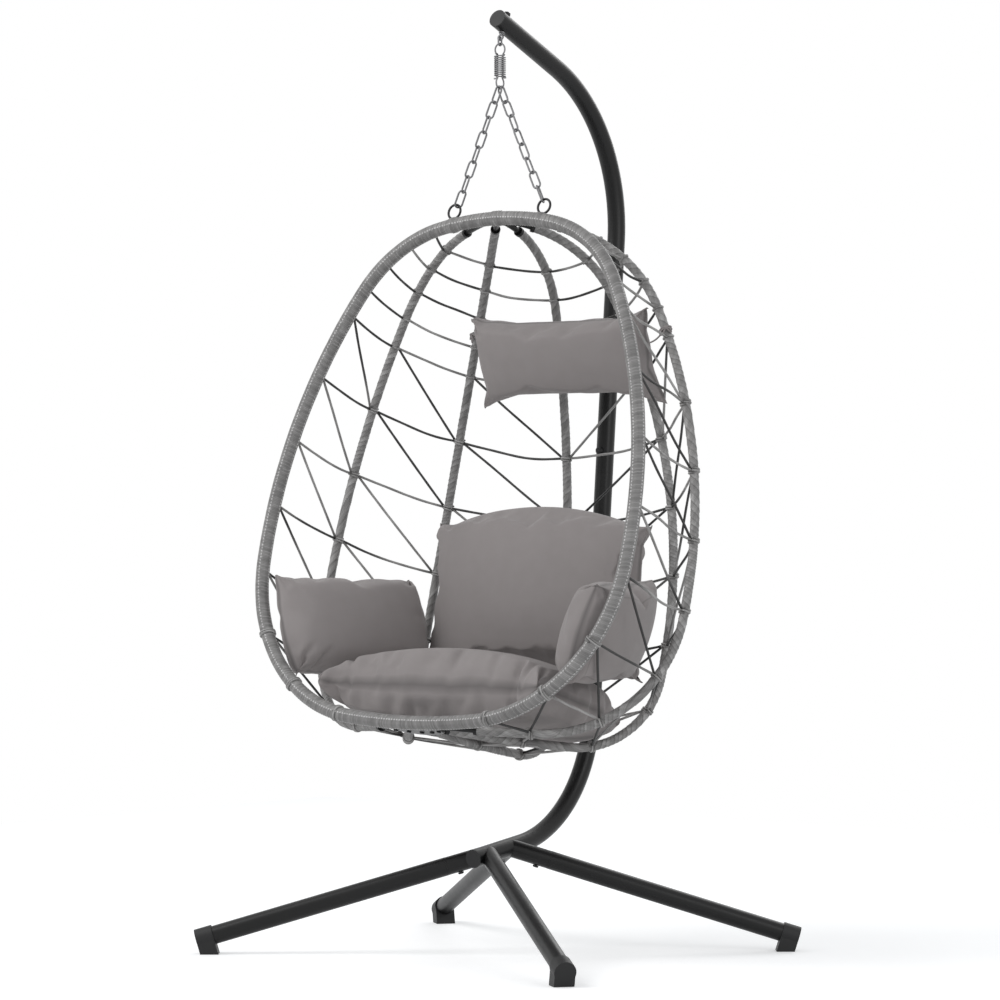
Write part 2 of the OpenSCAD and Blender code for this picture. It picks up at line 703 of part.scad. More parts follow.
// the middle of each chain's top bar; the two first links lie side by side in the lower loop
link_apart = chain_wire / 2 + 3 * gap;
top_bar_up = loop_r - sqrt(pow(loop_r - (bar_wire + chain_wire) / 2 - gap, 2) - pow(link_apart, 2)) + gap / 2;
function loop_bar(side) = [0, side * link_apart, low_bar_z];
function chain_from(side) = let (bar = loop_bar(side)) bar - top_bar_up * unit(chain_to(side) - bar);
function eyelet_centre(side) = egg_point([side * sin(eyelet_angle) * (hoop_top_r + eyelet_up), 0,
    cos(eyelet_angle) * (hoop_top_r + eyelet_up) - hoop_top_r]);
// the point of the eyelet's wire that the chain pulls on
function chain_to(side) =
    let (c = eyelet_centre(side), pull = loop_bar(side) - c, back = egg_way([0, 1, 0]))
    c + eyelet_r * unit(pull - (pull * back) * back);
module chain(side, end_twist) color(WIRE) {
    from = chain_from(side);
    to = chain_to(side);
    run = norm(to - from);
    way = (to - from) / run;
    pitch = (run + (eyelet_wire - chain_wire) / 2) / chain_links;
    link = pitch + chain_wire + gap;
    facing(from, way) for (k = [0 : chain_links - 1]) {
        later = second_twist + (end_twist - second_twist) * (k - 1) / (chain_links - 2);
        translate([0, 0, link / 2 + k * pitch]) rotate([0, 0, 90 * k + (k == 0 ? first_twist : later)])
            rotate([90, 0, 0]) rotate([0, 0, 90]) oval(link, chain_end_r, chain_wire);
    }
}
module chain_left() chain(-1, left_twist);
module chain_right() chain(1, right_twist);

// ---- Ribs ------------------------------------------------------------------
screw_d = 5;
screw_in = 9;
module rib(i) color(STEEL) egg() difference() {
    on_meridian(RIBS[i][0]) bent_bar([0, RIBS[i][2], 90], RIBS[i][1], rod_r);
    for (z = [0, -egg_len]) screw_place(i, z) translate([0, 0, -rib_rod_d])
        cylinder(h = 2 * rib_rod_d, d = screw_d + bolt_play);
}
module screw_place(i, z) {
    rotate([0, 0, RIBS[i][0]]) translate([RIBS[i][2] + screw_in, 0, z]) children();
}
module rib_outer_left() rib(0);
module rib_inner_left() rib(1);
module rib_centre() rib(2);
module rib_inner_right() rib(3);
module rib_outer_right() rib(4);

// the winding of one rib: a sleeve between its two end clips
module rib_wrap(i) color(WICKER) egg() on_meridian(RIBS[i][0]) {
    steps = RIBS[i][1];
    from = RIBS[i][3];
    to = path_length(steps, 5) - from;
    tube(along([0, RIBS[i][2], 90], steps, from), cut_steps(steps, from, to), rib_r, rod_r + gap);
}
module wrap_outer_left() rib_wrap(0);
module wrap_inner_left() rib_wrap(1);
module wrap_centre() rib_wrap(2);
module wrap_inner_right() rib_wrap(3);
module wrap_outer_right() rib_wrap(4);

module rib_clips() color(STEEL) egg() for (rib = RIBS) on_meridian(rib[0]) {
    whole = path_length(rib[1], 5);
    for (at = [rib[3] - clip_w / 2 - gap, whole - rib[3] + clip_w / 2 + gap]) {
        st = along([0, rib[2], 90], rib[1], at);
        translate([st[0], st[1], 0]) rotate([0, 0, st[2]]) difference() {
            x_rod(-clip_w / 2, clip_w / 2, rib_r + 0.8);
            x_rod(-clip_w, clip_w, rod_r + gap);
        }
    }
}

module rib_hubs() color(STEEL) egg() difference() {
    for (z = [hub_in, -egg_len - hub_in - hub_plate]) translate([0, 0, z]) difference() {
        cylinder(h = hub_plate, r = hub_r);
        translate([-2 * hub_r, -2 * hub_r, -past]) cube([4 * hub_r, 2 * hub_r, hub_plate + 2 * past]);
    }
    for (z = [0, -egg_len]) translate([0, 0, z]) x_rod(-hub_r, hub_r, hoop_tube_r + gap);
    for (i = [0 : 4]) for (z = [0, -egg_len]) screw_place(i, z) translate([0, 0, -hub_r])
        cylinder(h = 2 * hub_r, d = screw_d + bolt_play);
}

module rib_screws() color(STEEL) egg() for (i = [0 : 4]) for (end = [0, 1])
    screw_place(i, -end * egg_len) rotate([end * 180, 0, 0]) {
        seat_z = hub_in + hub_plate + gap;
        translate([0, 0, -rod_r]) cylinder(h = rod_r + seat_z + past, d = screw_d);
        translate([0, 0, seat_z]) cylinder(h = 1.5, d = 10);
        translate([0, 0, seat_z + 1.5]) cylinder(h = 1.5, d1 = 10, d2 = 6);
    }

// ---- Rope net --------------------------------------------------------------
// Lines 0 and 6 are the hoop's left and right side, lines 1 to 5 the ribs. Levels 1 to 5 are the close
// upper rows, 6 to 9 the wide levels and 10 to 12 the floor.
ROWS = 5;
LEVELS = 12;
function line_angle(i) = i == 0 ? 180 : i == 6 ? 0 : RIBS[i - 1][0];
function line_steps(i) = i % 6 == 0 ? hoop_steps : RIBS[i - 1][1];
function line_start(i) = [0, i % 6 == 0 ? 0 : RIBS[i - 1][2], 90];
function line_r(i) = i % 6 == 0 ? hoop_r : rib_r;
function level_share(m) = m <= ROWS ? row_first + row_step * (m - 1) :
    row_first + row_step * (ROWS - 1) + level_step * (m - ROWS);
function knot_state(i, m) =
    along(line_start(i), line_steps(i), level_share(m) * path_length(line_steps(i), 5));
function knot_point(i, m) = let (st = knot_state(i, m), a = line_angle(i))
    [st[1] * cos(a), st[1] * sin(a), -st[0]];
function knot_way(i, m) = let (h = knot_state(i, m)[2], a = line_angle(i))
    [sin(h) * cos(a), sin(h) * sin(a), -cos(h)];
// a rope pulled taut is a little slimmer than in its turns
taut_r = rope_r - 0.15;
// the point at a distance from a line's axis where a rope towards another knot leaves it
function leave(i, m, toward, dist) =
    let (p = knot_point(i, m), w = knot_way(i, m), v = toward - p)
    p + dist * unit(v - (v * w) * w);

// a rope turn round a line
module rope_turn(i, m) {
    facing(knot_point(i, m), knot_way(i, m)) ring(line_r(i) + gap + rope_r, rope_d);
}
// How far a rope's end is cut back: held in its own turn, clear of a neighbour's turn, or clear of the
// level rope that leaves the same knot in the panel above.
HELD = 0;
CLEAR = 1;
BELOW = 2;
function cut_back(kind, way, level) = kind == HELD ? 0 : kind == CLEAR ? rope_r + 2 * gap :
    (taut_r * (1 + abs(way * level)) + 2 * gap) / sqrt(1 - pow(way * level, 2));
// a rope from knot m1 on line i to knot m2 on line i + 1
module rope_run(i, m1, m2, left, right) {
    p = knot_point(i, m1);
    q = knot_point(i + 1, m2);
    from = leave(i, m1, q, line_r(i) + gap + rope_r);
    to = leave(i + 1, m2, p, line_r(i + 1) + gap + rope_r);
    way = unit(to - from);
    level_left = unit(knot_point(i + 1, m1) - p);
    level_right = unit(q - knot_point(i, m2));
    rod(from + cut_back(left, way, level_left) * way, to - cut_back(right, way, level_right) * way, taut_r);
}
// the ropes of one panel from level a to level b, with the turns on the panel's right-hand line
module net_panel(i, a, b) {
    first = i == 0 ? HELD : CLEAR;
    for (m = [a : b]) {
        rope_run(i, m, m, first, HELD);
        rope_turn(i + 1, m);
        if (i == 0) rope_turn(i, m);
    }
    // slanted ropes fall away from the hoop on both sides
    for (m = [max(a - 1, ROWS) : 1 : b - 1]) {
        if (i < 3) rope_run(i, m, m + 1, m >= a ? first : BELOW, HELD);
        else rope_run(i, m + 1, m, CLEAR, m >= a ? HELD : BELOW);
    }
}
module net_upper(i) color(WICKER) egg() net_panel(i, 1, ROWS);
module net_lower(i) color(WICKER) egg() net_panel(i, ROWS + 1, 9);
module net_upper_1() net_upper(0);
module net_upper_2() net_upper(1);
module net_upper_3() net_upper(2);
module net_upper_4() net_upper(3);
module net_upper_5() net_upper(4);
module net_upper_6() net_upper(5);
module net_lower_1() net_lower(0);
module net_lower_2() net_lower(1);
module net_lower_3() net_lower(2);
module net_lower_4() net_lower(3);
module net_lower_5() net_lower(4);
module net_lower_6() net_lower(5);
module net_floor_left() color(WICKER) egg() for (i = [0 : 2]) net_panel(i, 10, LEVELS);
module net_floor_right() color(WICKER) egg() for (i = [3 : 5]) net_panel(i, 10, LEVELS);

// ---- Cushions --------------------------------------------------------------
// A cushion is two crowned faces that meet in a seam. Its sides draw in between the rounded corners, it
// can narrow towards +Y and bow towards +Z along its width, its upper face can rise higher than the lower
// one falls, and its +Y edge can be arched.
CUSHION_GRID = 14;
CUSHION_DRAW = 0.05;
function crown(u, v, full) = pow(max(1 - u * u, 0), 0.42) * pow(max(1 - v * v, 0), full);
function cushion_point(u, v, side, w, h, t, round, taper, bow, rise, full, arch) =
    let (corner = 1 - round * u * u * v * v, half = t / 2 + (side > 0 ? rise : 0))
    [w / 2 * u * (1 - CUSHION_DRAW * (1 - v * v) * abs(u)) * corner * (1 - taper * pow(max(v, 0), 2)),
    (h / 2 - (v > 0 ? arch * u * u : 0)) * v * (1 - CUSHION_DRAW * (1 - u * u) * abs(v)) * corner,
    side * half * crown(u, v, full) + bow * u * u];
module cushion(w, h, t, round = 0.1, taper = 0, bow = 0, rise = 0, full = 0.42, arch = 0) {
    n = CUSHION_GRID;
    row = n + 1;
    top = [for (j = [0 : n]) for (i = [0 : n])
        cushion_point(2 * i / n - 1, 2 * j / n - 1, 1, w, h, t, round, taper, bow, rise, full, arch)];
    low = [for (j = [0 : n]) for (i = [0 : n])
        cushion_point(2 * i / n - 1, 2 * j / n - 1, -1, w, h, t, round, taper, bow, rise, full, arch)];
    under = row * row;
    // a point on the seam belongs to both faces
    function low_id(i, j) = (i == 0 || i == n || j == 0 || j == n) ? j * row + i : under + j * row + i;
    // each cell is cut from the middle towards its own corner
    function lean_in(i, j) = (i < n / 2) == (j < n / 2);
    polyhedron(concat(top, low), concat(
        [for (j = [0 : n - 1]) for (i = [0 : n - 1])
            let (a = j * row + i, b = a + 1, c = a + row, d = c + 1)
            each lean_in(i, j) ? [[a, c, d], [a, d, b]] : [[a, c, b], [b, c, d]]],
        [for (j = [0 : n - 1]) for (i = [0 : n - 1])
            let (a = low_id(i, j), b = low_id(i + 1, j), c = low_id(i, j + 1), d = low_id(i + 1, j + 1))
            each lean_in(i, j) ? [[a, d, c], [a, b, d]] : [[a, b, c], [b, d, c]]]), convexity = 4);
}

// the seat lies on the net's floor, level with the egg's cross-section
seat_up = 86;
seat_back = 197;
seat_rise = 30;
module seat_cushion() color(CLOTH) egg() translate([0, seat_back, seat_up - egg_len])
    cushion(seat_w, seat_d, seat_t, round = 0.14, taper = 0.12, rise = seat_rise, full = 0.3);

// the back leans on the net behind it
back_y = 124;
back_z = 748.5;
back_lean = 7;
back_bow = 10;
back_arch = 60;
module back_cushion() color(CLOTH) translate([0, back_y, back_z]) rotate([90 - back_lean, 0, 0])
    cushion(back_w, back_h, back_t, round = 0.04, bow = -back_bow, arch = back_arch);

// the arms stand along the net's sides
arm_x = 332;
arm_y = -74;
arm_z = 668;
arm_turn = 17;
arm_lean = 18;
module arm_cushion(side) color(CLOTH) translate([side * arm_x, arm_y, arm_z])
    rotate([0, 0, side * arm_turn]) rotate([0, side * arm_lean, 0]) rotate([0, 90, 0]) rotate([0, 0, 90])
    cushion(arm_len, arm_h, arm_t, round = 0.1);
module arm_cushion_left() arm_cushion(-1);
module arm_cushion_right() arm_cushion(1);

// the pillow hangs on the net behind the head
pillow_at = [78, 120, 1228];
pillow_pitch = 18;
module head_pillow() color(CLOTH) translate(pillow_at) rotate([90 + pillow_pitch, 0, 0])
    cushion(pillow_w, pillow_h, pillow_t, round = 0.03);

lower_pole();
upper_pole();
pole_top_cap();
pole_bottom_cap();
joint_bolt();
joint_nut();
leg_front_left();
leg_front_right();
leg_back_left();
leg_back_right();
foot_front_left();
foot_front_right();
foot_back_left();
foot_back_right();
leg_bolts();
leg_nuts();
eye_bolt();
eye_nut();
hook_link();
upper_drawbar();
spring_coil();
lower_drawbar();
chain_left();
chain_right();
hoop_tube();
hoop_wrap();
eyelet_left();
eyelet_right();
rib_outer_left();
rib_inner_left();
rib_centre();
rib_inner_right();
rib_outer_right();
wrap_outer_left();
wrap_inner_left();
wrap_centre();
wrap_inner_right();
wrap_outer_right();
rib_clips();
rib_hubs();
rib_screws();
net_upper_1();
net_upper_2();
net_upper_3();
net_upper_4();
net_upper_5();
net_upper_6();
net_lower_1();
net_lower_2();
net_lower_3();
net_lower_4();
net_lower_5();
net_lower_6();
net_floor_left();
net_floor_right();
seat_cushion();
back_cushion();
arm_cushion_left();
arm_cushion_right();
head_pillow();
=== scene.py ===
"""Hanging egg chair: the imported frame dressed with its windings, rope net, spring and cushions."""

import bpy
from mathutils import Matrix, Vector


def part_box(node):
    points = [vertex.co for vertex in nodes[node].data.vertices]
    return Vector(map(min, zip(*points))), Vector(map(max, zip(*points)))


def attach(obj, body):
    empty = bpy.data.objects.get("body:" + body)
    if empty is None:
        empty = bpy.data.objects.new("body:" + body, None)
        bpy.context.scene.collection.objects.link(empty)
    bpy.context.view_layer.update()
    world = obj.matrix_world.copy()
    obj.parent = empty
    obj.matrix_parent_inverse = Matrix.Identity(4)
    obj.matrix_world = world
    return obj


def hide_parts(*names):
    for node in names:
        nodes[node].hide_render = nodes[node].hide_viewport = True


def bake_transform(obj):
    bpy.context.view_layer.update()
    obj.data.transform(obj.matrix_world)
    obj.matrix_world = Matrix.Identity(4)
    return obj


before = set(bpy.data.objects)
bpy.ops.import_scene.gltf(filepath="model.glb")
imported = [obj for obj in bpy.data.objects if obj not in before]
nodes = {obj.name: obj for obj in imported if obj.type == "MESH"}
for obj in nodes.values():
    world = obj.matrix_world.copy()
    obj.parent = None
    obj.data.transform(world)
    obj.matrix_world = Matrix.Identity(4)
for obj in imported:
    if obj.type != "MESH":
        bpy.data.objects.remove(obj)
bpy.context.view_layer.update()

import math

import bpy
import numpy as np
from mathutils import Vector
from mathutils.bvhtree import BVHTree

MM = 0.001
# the egg's own axes, in mm: where the hoop's top is, how long the egg is, and how far it leans back
HOOP_Y, HOOP_Z, EGG_LEN = -9.0, 1512.0, 1066.0
LEAN = math.radians(15.4)


# ---------------------------------------------------------------- camera, floor and light
LENS, SENSOR = 139.617, 36.0
CAMERA_AT, LOOK_AT = (4.911, -6.315, 0.890), (0.0, 0.0, 0.9315)
STUDIO, STUDIO_LEVEL = (0.94, 0.97, 1.0, 1), 0.52
FLOOR, FLOOR_GLOW = (0.82, 0.82, 0.82, 1), 0.36
FLOOR_REACH, FLOOR_Z = 3.2, -0.0006


def aim(thing, target):
    """Turns an object's -Z axis towards a point."""
    way = Vector(target) - thing.location
    thing.rotation_mode = "QUATERNION"
    thing.rotation_quaternion = way.to_track_quat("-Z", "Y")


def add_camera():
    """A long lens, eight metres away, at the height of the seat's back."""
    data = bpy.data.cameras.new("camera")
    data.sensor_width = SENSOR
    data.lens = LENS
    data.dof.use_dof = False
    cam = bpy.data.objects.new("camera", data)
    bpy.context.scene.collection.objects.link(cam)
    cam.location = CAMERA_AT
    aim(cam, LOOK_AT)
    bpy.context.scene.camera = cam


def add_softbox(name, place, target, size, watts):
    """A square area lamp aimed at a point."""
    data = bpy.data.lights.new(name, "AREA")
    data.shape = "SQUARE"
    data.size = size
    data.energy = watts
    lamp = bpy.data.objects.new(name, data)
    bpy.context.scene.collection.objects.link(lamp)
    lamp.location = place
    aim(lamp, target)


def wire(tree, a, b):
    """Links an output to an input."""
    tree.links.new(a, b)


def math_node(tree, how, a, b=None):
    """One maths node; a number is set on the socket and an output is linked to it."""
    n = tree.nodes.new("ShaderNodeMath")
    n.operation = how
    for k, v in enumerate((a, b)):
        if isinstance(v, (int, float)):
            n.inputs[k].default_value = v
        elif v is not None:
            wire(tree, v, n.inputs[k])
    return n.outputs[0]


def seen_directly(tree):
    """1 where a ray comes from the camera, a mirror-like surface or through glass, and 0 elsewhere."""
    path = tree.nodes.new("ShaderNodeLightPath").outputs
    either = math_node(tree, "MAXIMUM", path["Is Camera Ray"], path["Is Glossy Ray"])
    return math_node(tree, "MAXIMUM", either, path["Is Transmission Ray"])


def add_world():
    """An even studio light; the camera sees it white."""
    world = bpy.data.worlds.new("studio")
    bpy.context.scene.world = world
    world.use_nodes = True
    tree = world.node_tree
    tree.nodes.clear()
    out = tree.nodes.new("ShaderNodeOutputWorld")
    mix = tree.nodes.new("ShaderNodeMixShader")
    light = tree.nodes.new("ShaderNodeBackground")
    light.inputs["Color"].default_value = STUDIO
    light.inputs["Strength"].default_value = STUDIO_LEVEL
    white = tree.nodes.new("ShaderNodeBackground")
    white.inputs["Color"].default_value = (1, 1, 1, 1)
    white.inputs["Strength"].default_value = 1.0
    wire(tree, seen_directly(tree), mix.inputs[0])
    wire(tree, light.outputs[0], mix.inputs[1])
    wire(tree, white.outputs[0], mix.inputs[2])
    wire(tree, mix.outputs[0], out.inputs[0])


def add_floor():
    """A white floor that keeps the shadow: a matt surface with a little light of its own to the camera."""
    mesh = bpy.data.meshes.new("floor")
    r, z = FLOOR_REACH, FLOOR_Z
    mesh.from_pydata([(-r, -r, z), (r, -r, z), (r, r, z), (-r, r, z)], [], [(0, 1, 2, 3)])
    floor = bpy.data.objects.new("floor", mesh)
    bpy.context.scene.collection.objects.link(floor)
    m = bpy.data.materials.new("floor_white")
    m.use_nodes = True
    tree = m.node_tree
    tree.nodes.clear()
    out = tree.nodes.new("ShaderNodeOutputMaterial")
    both = tree.nodes.new("ShaderNodeAddShader")
    matt = tree.nodes.new("ShaderNodeBsdfDiffuse")
    matt.inputs["Color"].default_value = FLOOR
    glow = tree.nodes.new("ShaderNodeEmission")
    wire(tree, math_node(tree, "MULTIPLY", seen_directly(tree), FLOOR_GLOW), glow.inputs["Strength"])
    wire(tree, matt.outputs[0], both.inputs[0])
    wire(tree, glow.outputs[0], both.inputs[1])
    wire(tree, both.outputs[0], out.inputs[0])
    mesh.materials.append(m)


add_camera()
add_world()
add_floor()
add_softbox("key", (-2.6, -3.6, 4.6), (0, 0, 0.9), 3.2, 165)
add_softbox("side", (4.6, -1.2, 2.6), (0, 0, 0.9), 2.6, 50)
add_softbox("back", (-0.6, 4.4, 3.4), (0, 0, 1.0), 3.0, 60)
bpy.context.scene.view_settings.view_transform = "Standard"


# ---------------------------------------------------------------- finishes
def new_group(name, ins, outs):
    """A shader node group with named sockets: ins and outs are (name, socket kind, default)."""
    group = bpy.data.node_groups.new(name, "ShaderNodeTree")
    for label, kind, value in ins:
        socket = group.interface.new_socket(label, in_out="INPUT", socket_type=kind)
        socket.default_value = value
    for label, kind in outs:
        group.interface.new_socket(label, in_out="OUTPUT", socket_type=kind)
    return group, group.nodes.new("NodeGroupInput"), group.nodes.new("NodeGroupOutput")


def noise_node(tree, vector, scale, detail):
    """Soft noise from 0 to 1, with scale blotches to a unit of the vector and detail finer layers."""
    n = tree.nodes.new("ShaderNodeTexNoise")
    n.inputs["Scale"].default_value = scale
    n.inputs["Detail"].default_value = detail
    n.inputs["Roughness"].default_value = 0.55
    wire(tree, vector, n.inputs["Vector"])
    return n.outputs["Fac"]


def build_mottle():
    """Two sizes of soft blotches that lighten and darken a colour: Blotch is 0.6 of the coarse noise and
    0.4 of the fine, and the colour is times 1 + 4 * Amount * (Blotch - 0.5)."""
    g, i, o = new_group("mottle",
        [("Colour", "NodeSocketColor", (0.5, 0.5, 0.5, 1)), ("Coarse", "NodeSocketFloat", 8.0),
         ("Fine", "NodeSocketFloat", 90.0), ("Amount", "NodeSocketFloat", 0.2)],
        [("Colour", "NodeSocketColor"), ("Blotch", "NodeSocketFloat")])
    place = g.nodes.new("ShaderNodeTexCoord").outputs["Object"]
    parts = []
    for size, share in (("Coarse", 0.6), ("Fine", 0.4)):
        n = g.nodes.new("ShaderNodeTexNoise")
        n.inputs["Detail"].default_value = 4.0
        wire(g, place, n.inputs["Vector"])
        wire(g, i.outputs[size], n.inputs["Scale"])
        parts.append(math_node(g, "MULTIPLY", n.outputs["Fac"], share))
    blotch = math_node(g, "ADD", *parts)
    change = math_node(g, "MULTIPLY", math_node(g, "SUBTRACT", blotch, 0.5), i.outputs["Amount"])
    level = math_node(g, "ADD", math_node(g, "MULTIPLY", change, 4.0), 1.0)
    scale = g.nodes.new("ShaderNodeVectorMath")
    scale.operation = "SCALE"
    wire(g, i.outputs["Colour"], scale.inputs[0])
    wire(g, level, scale.inputs["Scale"])
    wire(g, scale.outputs[0], o.inputs["Colour"])
    wire(g, blotch, o.inputs["Blotch"])
    return g


def build_weave():
    """A plain weave on the piece's own UV map, in metres: the height of a thread is the size of its sine,
    and the product of the two sines says which of the two lies on top. Slub is noise drawn out along a
    thread."""
    g, i, o = new_group("weave", [("Thread", "NodeSocketFloat", 0.0012)],
        [("Height", "NodeSocketFloat"), ("Slub", "NodeSocketFloat")])
    uv = g.nodes.new("ShaderNodeUVMap").outputs[0]
    parts = g.nodes.new("ShaderNodeSeparateXYZ")
    wire(g, uv, parts.inputs[0])
    turns = [math_node(g, "MULTIPLY", math_node(g, "DIVIDE", parts.outputs[k], i.outputs["Thread"]), math.pi)
        for k in (0, 1)]
    warp = math_node(g, "ABSOLUTE", math_node(g, "SINE", turns[0]))
    weft = math_node(g, "ABSOLUTE", math_node(g, "SINE", turns[1]))
    over = math_node(g, "MULTIPLY", math_node(g, "SINE", turns[0]), math_node(g, "SINE", turns[1]))
    cross = math_node(g, "ADD", math_node(g, "MULTIPLY", over, 0.5), 0.5)
    height = math_node(g, "ADD", math_node(g, "MULTIPLY", warp, cross),
        math_node(g, "MULTIPLY", weft, math_node(g, "SUBTRACT", 1.0, cross)))
    stretch = g.nodes.new("ShaderNodeMapping")
    stretch.inputs["Scale"].default_value = (1.0, 9.0, 1.0)
    wire(g, uv, stretch.inputs["Vector"])
    slub = noise_node(g, stretch.outputs[0], 60.0, 2.0)
    wire(g, height, o.inputs["Height"])
    wire(g, slub, o.inputs["Slub"])
    return g


MOTTLE = build_mottle()
WEAVE = build_weave()


class Finish:
    """A material under way: its node tree and its shader."""

    def __init__(self, name, rough, metal=0.0):
        self.m = bpy.data.materials.new(name)
        self.m.use_nodes = True
        self.tree = self.m.node_tree
        self.shader = self.tree.nodes["Principled BSDF"]
        self.shader.inputs["Roughness"].default_value = rough
        self.shader.inputs["Metallic"].default_value = metal

    def group(self, group, **values):
        """Places a node group with these values on its inputs, and gives its outputs."""
        n = self.tree.nodes.new("ShaderNodeGroup")
        n.node_tree = group
        for label, value in values.items():
            if isinstance(value, bpy.types.NodeSocket):
                wire(self.tree, value, n.inputs[label])
            else:
                n.inputs[label].default_value = value
        return n.outputs

    def attribute(self, name):
        """A value that the mesh carries at its points."""
        n = self.tree.nodes.new("ShaderNodeAttribute")
        n.attribute_name = name
        return n.outputs["Fac"]

    def ramp(self, value, stops):
        """A colour that goes through stops, each (place from 0 to 1, colour), as a value rises."""
        n = self.tree.nodes.new("ShaderNodeValToRGB")
        ramp = n.color_ramp
        while len(ramp.elements) < len(stops):
            ramp.elements.new(0.5)
        for element, (at, colour) in zip(ramp.elements, stops):
            element.position = at
            element.color = (*colour, 1)
        wire(self.tree, value, n.inputs[0])
        return n.outputs[0]

    def spread(self, value, low, high):
        """A value from 0 to 1 brought to low to high."""
        n = self.tree.nodes.new("ShaderNodeMapRange")
        n.inputs["To Min"].default_value = low
        n.inputs["To Max"].default_value = high
        wire(self.tree, value, n.inputs["Value"])
        return n.outputs[0]

    def bump(self, height, strength, distance):
        """Raises the surface by a height, distance metres at the most."""
        n = self.tree.nodes.new("ShaderNodeBump")
        n.inputs["Strength"].default_value = strength
        n.inputs["Distance"].default_value = distance
        wire(self.tree, height, n.inputs["Height"])
        wire(self.tree, n.outputs[0], self.shader.inputs["Normal"])

    def feed(self, socket, value):
        """Links an output to one of the shader's inputs."""
        wire(self.tree, value, self.shader.inputs[socket])


def object_place(f):
    """The place of a point on the piece, in metres."""
    return f.tree.nodes.new("ShaderNodeTexCoord").outputs["Object"]


def paint_finish(name, colour, rough):
    """Powder-coated steel: even charcoal with a fine orange-peel skin and soft handling marks."""
    f = Finish(name, rough)
    f.shader.inputs["Specular IOR Level"].default_value = 0.28
    got = f.group(MOTTLE, Colour=(*colour, 1), Coarse=7.0, Fine=55.0, Amount=0.12)
    f.feed("Base Color", got["Colour"])
    f.feed("Roughness", f.spread(got["Blotch"], rough - 0.1, rough + 0.12))
    f.bump(noise_node(f.tree, object_place(f), 900.0, 2.0), 0.12, 0.0004)
    return f.m


def plastic_finish(name, colour):
    """Moulded plastic with a fine spark-eroded grain."""
    f = Finish(name, 0.55)
    f.shader.inputs["Specular IOR Level"].default_value = 0.35
    got = f.group(MOTTLE, Colour=(*colour, 1), Coarse=18.0, Fine=160.0, Amount=0.1)
    f.feed("Base Color", got["Colour"])
    f.bump(noise_node(f.tree, object_place(f), 1800.0, 3.0), 0.2, 0.0003)
    return f.m


def zinc_finish(name, colour, rough):
    """Plated steel wire: cloudy plating, duller where it rubs."""
    f = Finish(name, rough, 0.85)
    got = f.group(MOTTLE, Colour=(*colour, 1), Coarse=60.0, Fine=400.0, Amount=0.25)
    f.feed("Base Color", got["Colour"])
    f.feed("Roughness", f.spread(got["Blotch"], rough - 0.12, rough + 0.15))
    f.bump(noise_node(f.tree, object_place(f), 1200.0, 2.0), 0.15, 0.0003)
    return f.m


def wicker_finish(name, dark, mid, light):
    """Resin strand: colour from the piece's own shade attribute, from dark through mid to light, mottled."""
    f = Finish(name, 0.52)
    base = f.ramp(f.attribute("shade"), [(0.0, dark), (0.5, mid), (1.0, light)])
    got = f.group(MOTTLE, Colour=base, Coarse=30.0, Fine=420.0, Amount=0.22)
    f.feed("Base Color", got["Colour"])
    f.feed("Roughness", f.spread(got["Blotch"], 0.42, 0.64))
    f.bump(noise_node(f.tree, object_place(f), 1500.0, 2.0), 0.25, 0.0003)
    return f.m


def cloth_finish(name, colour):
    """Outdoor polyester: a fine plain weave, faint slubs, and darker along the seam and the flange's sewn
    line, painted shade in their creases.
    """
    f = Finish(name, 0.85)
    f.shader.inputs["Sheen Weight"].default_value = 0.12
    f.shader.inputs["Sheen Roughness"].default_value = 0.5
    weave = f.group(WEAVE, Thread=0.0011)
    dark = tuple(c * 0.55 for c in colour)
    # painted shade: the seam attribute darkens the cloth to 0.55 in the seam crease and the flange's sewn
    # groove
    base = f.ramp(f.attribute("seam"), [(0.0, colour), (0.55, colour), (1.0, dark)])
    got = f.group(MOTTLE, Colour=base, Coarse=4.0, Fine=30.0, Amount=0.07)
    f.feed("Base Color", got["Colour"])
    f.feed("Roughness", f.spread(weave["Slub"], 0.78, 0.92))
    f.bump(weave["Height"], 0.25, 0.0004)
    return f.m


PAINT = paint_finish("charcoal_paint", (0.0055, 0.0055, 0.0057), 0.36)
CAP = plastic_finish("cap_plastic", (0.012, 0.012, 0.0125))
BLACK = zinc_finish("black_plate", (0.03, 0.03, 0.031), 0.4)
ZINC = zinc_finish("zinc_wire", (0.20, 0.20, 0.205), 0.45)
BRIGHT = zinc_finish("zinc_nut", (0.5, 0.5, 0.51), 0.35)
WICKER = wicker_finish("wicker", (0.045, 0.044, 0.043), (0.225, 0.218, 0.213), (0.66, 0.65, 0.64))
ROPE = wicker_finish("rope", (0.004, 0.004, 0.004), (0.235, 0.228, 0.222), (0.50, 0.49, 0.48))
CLOTH = cloth_finish("warm_grey_cloth", (0.262, 0.238, 0.233))

NODE_FINISH = {
    PAINT: ["lower_pole", "upper_pole", "leg_front_left", "leg_front_right", "leg_back_left",
            "leg_back_right", "hoop_tube", "rib_outer_left", "rib_inner_left", "rib_centre",
            "rib_inner_right", "rib_outer_right", "rib_clips", "rib_hubs"],
    CAP: ["pole_top_cap", "pole_bottom_cap", "foot_front_left", "foot_front_right",
          "foot_back_left", "foot_back_right"],
    BLACK: ["joint_bolt", "leg_bolts", "eyelet_left", "eyelet_right", "rib_screws", "eye_nut"],
    ZINC: ["eye_bolt", "hook_link", "upper_drawbar", "lower_drawbar", "chain_left", "chain_right"],
    BRIGHT: ["joint_nut", "leg_nuts"],
}
for finish, names in NODE_FINISH.items():
    for name in names:
        mesh = nodes[name].data
        mesh.materials.clear()
        mesh.materials.append(finish)


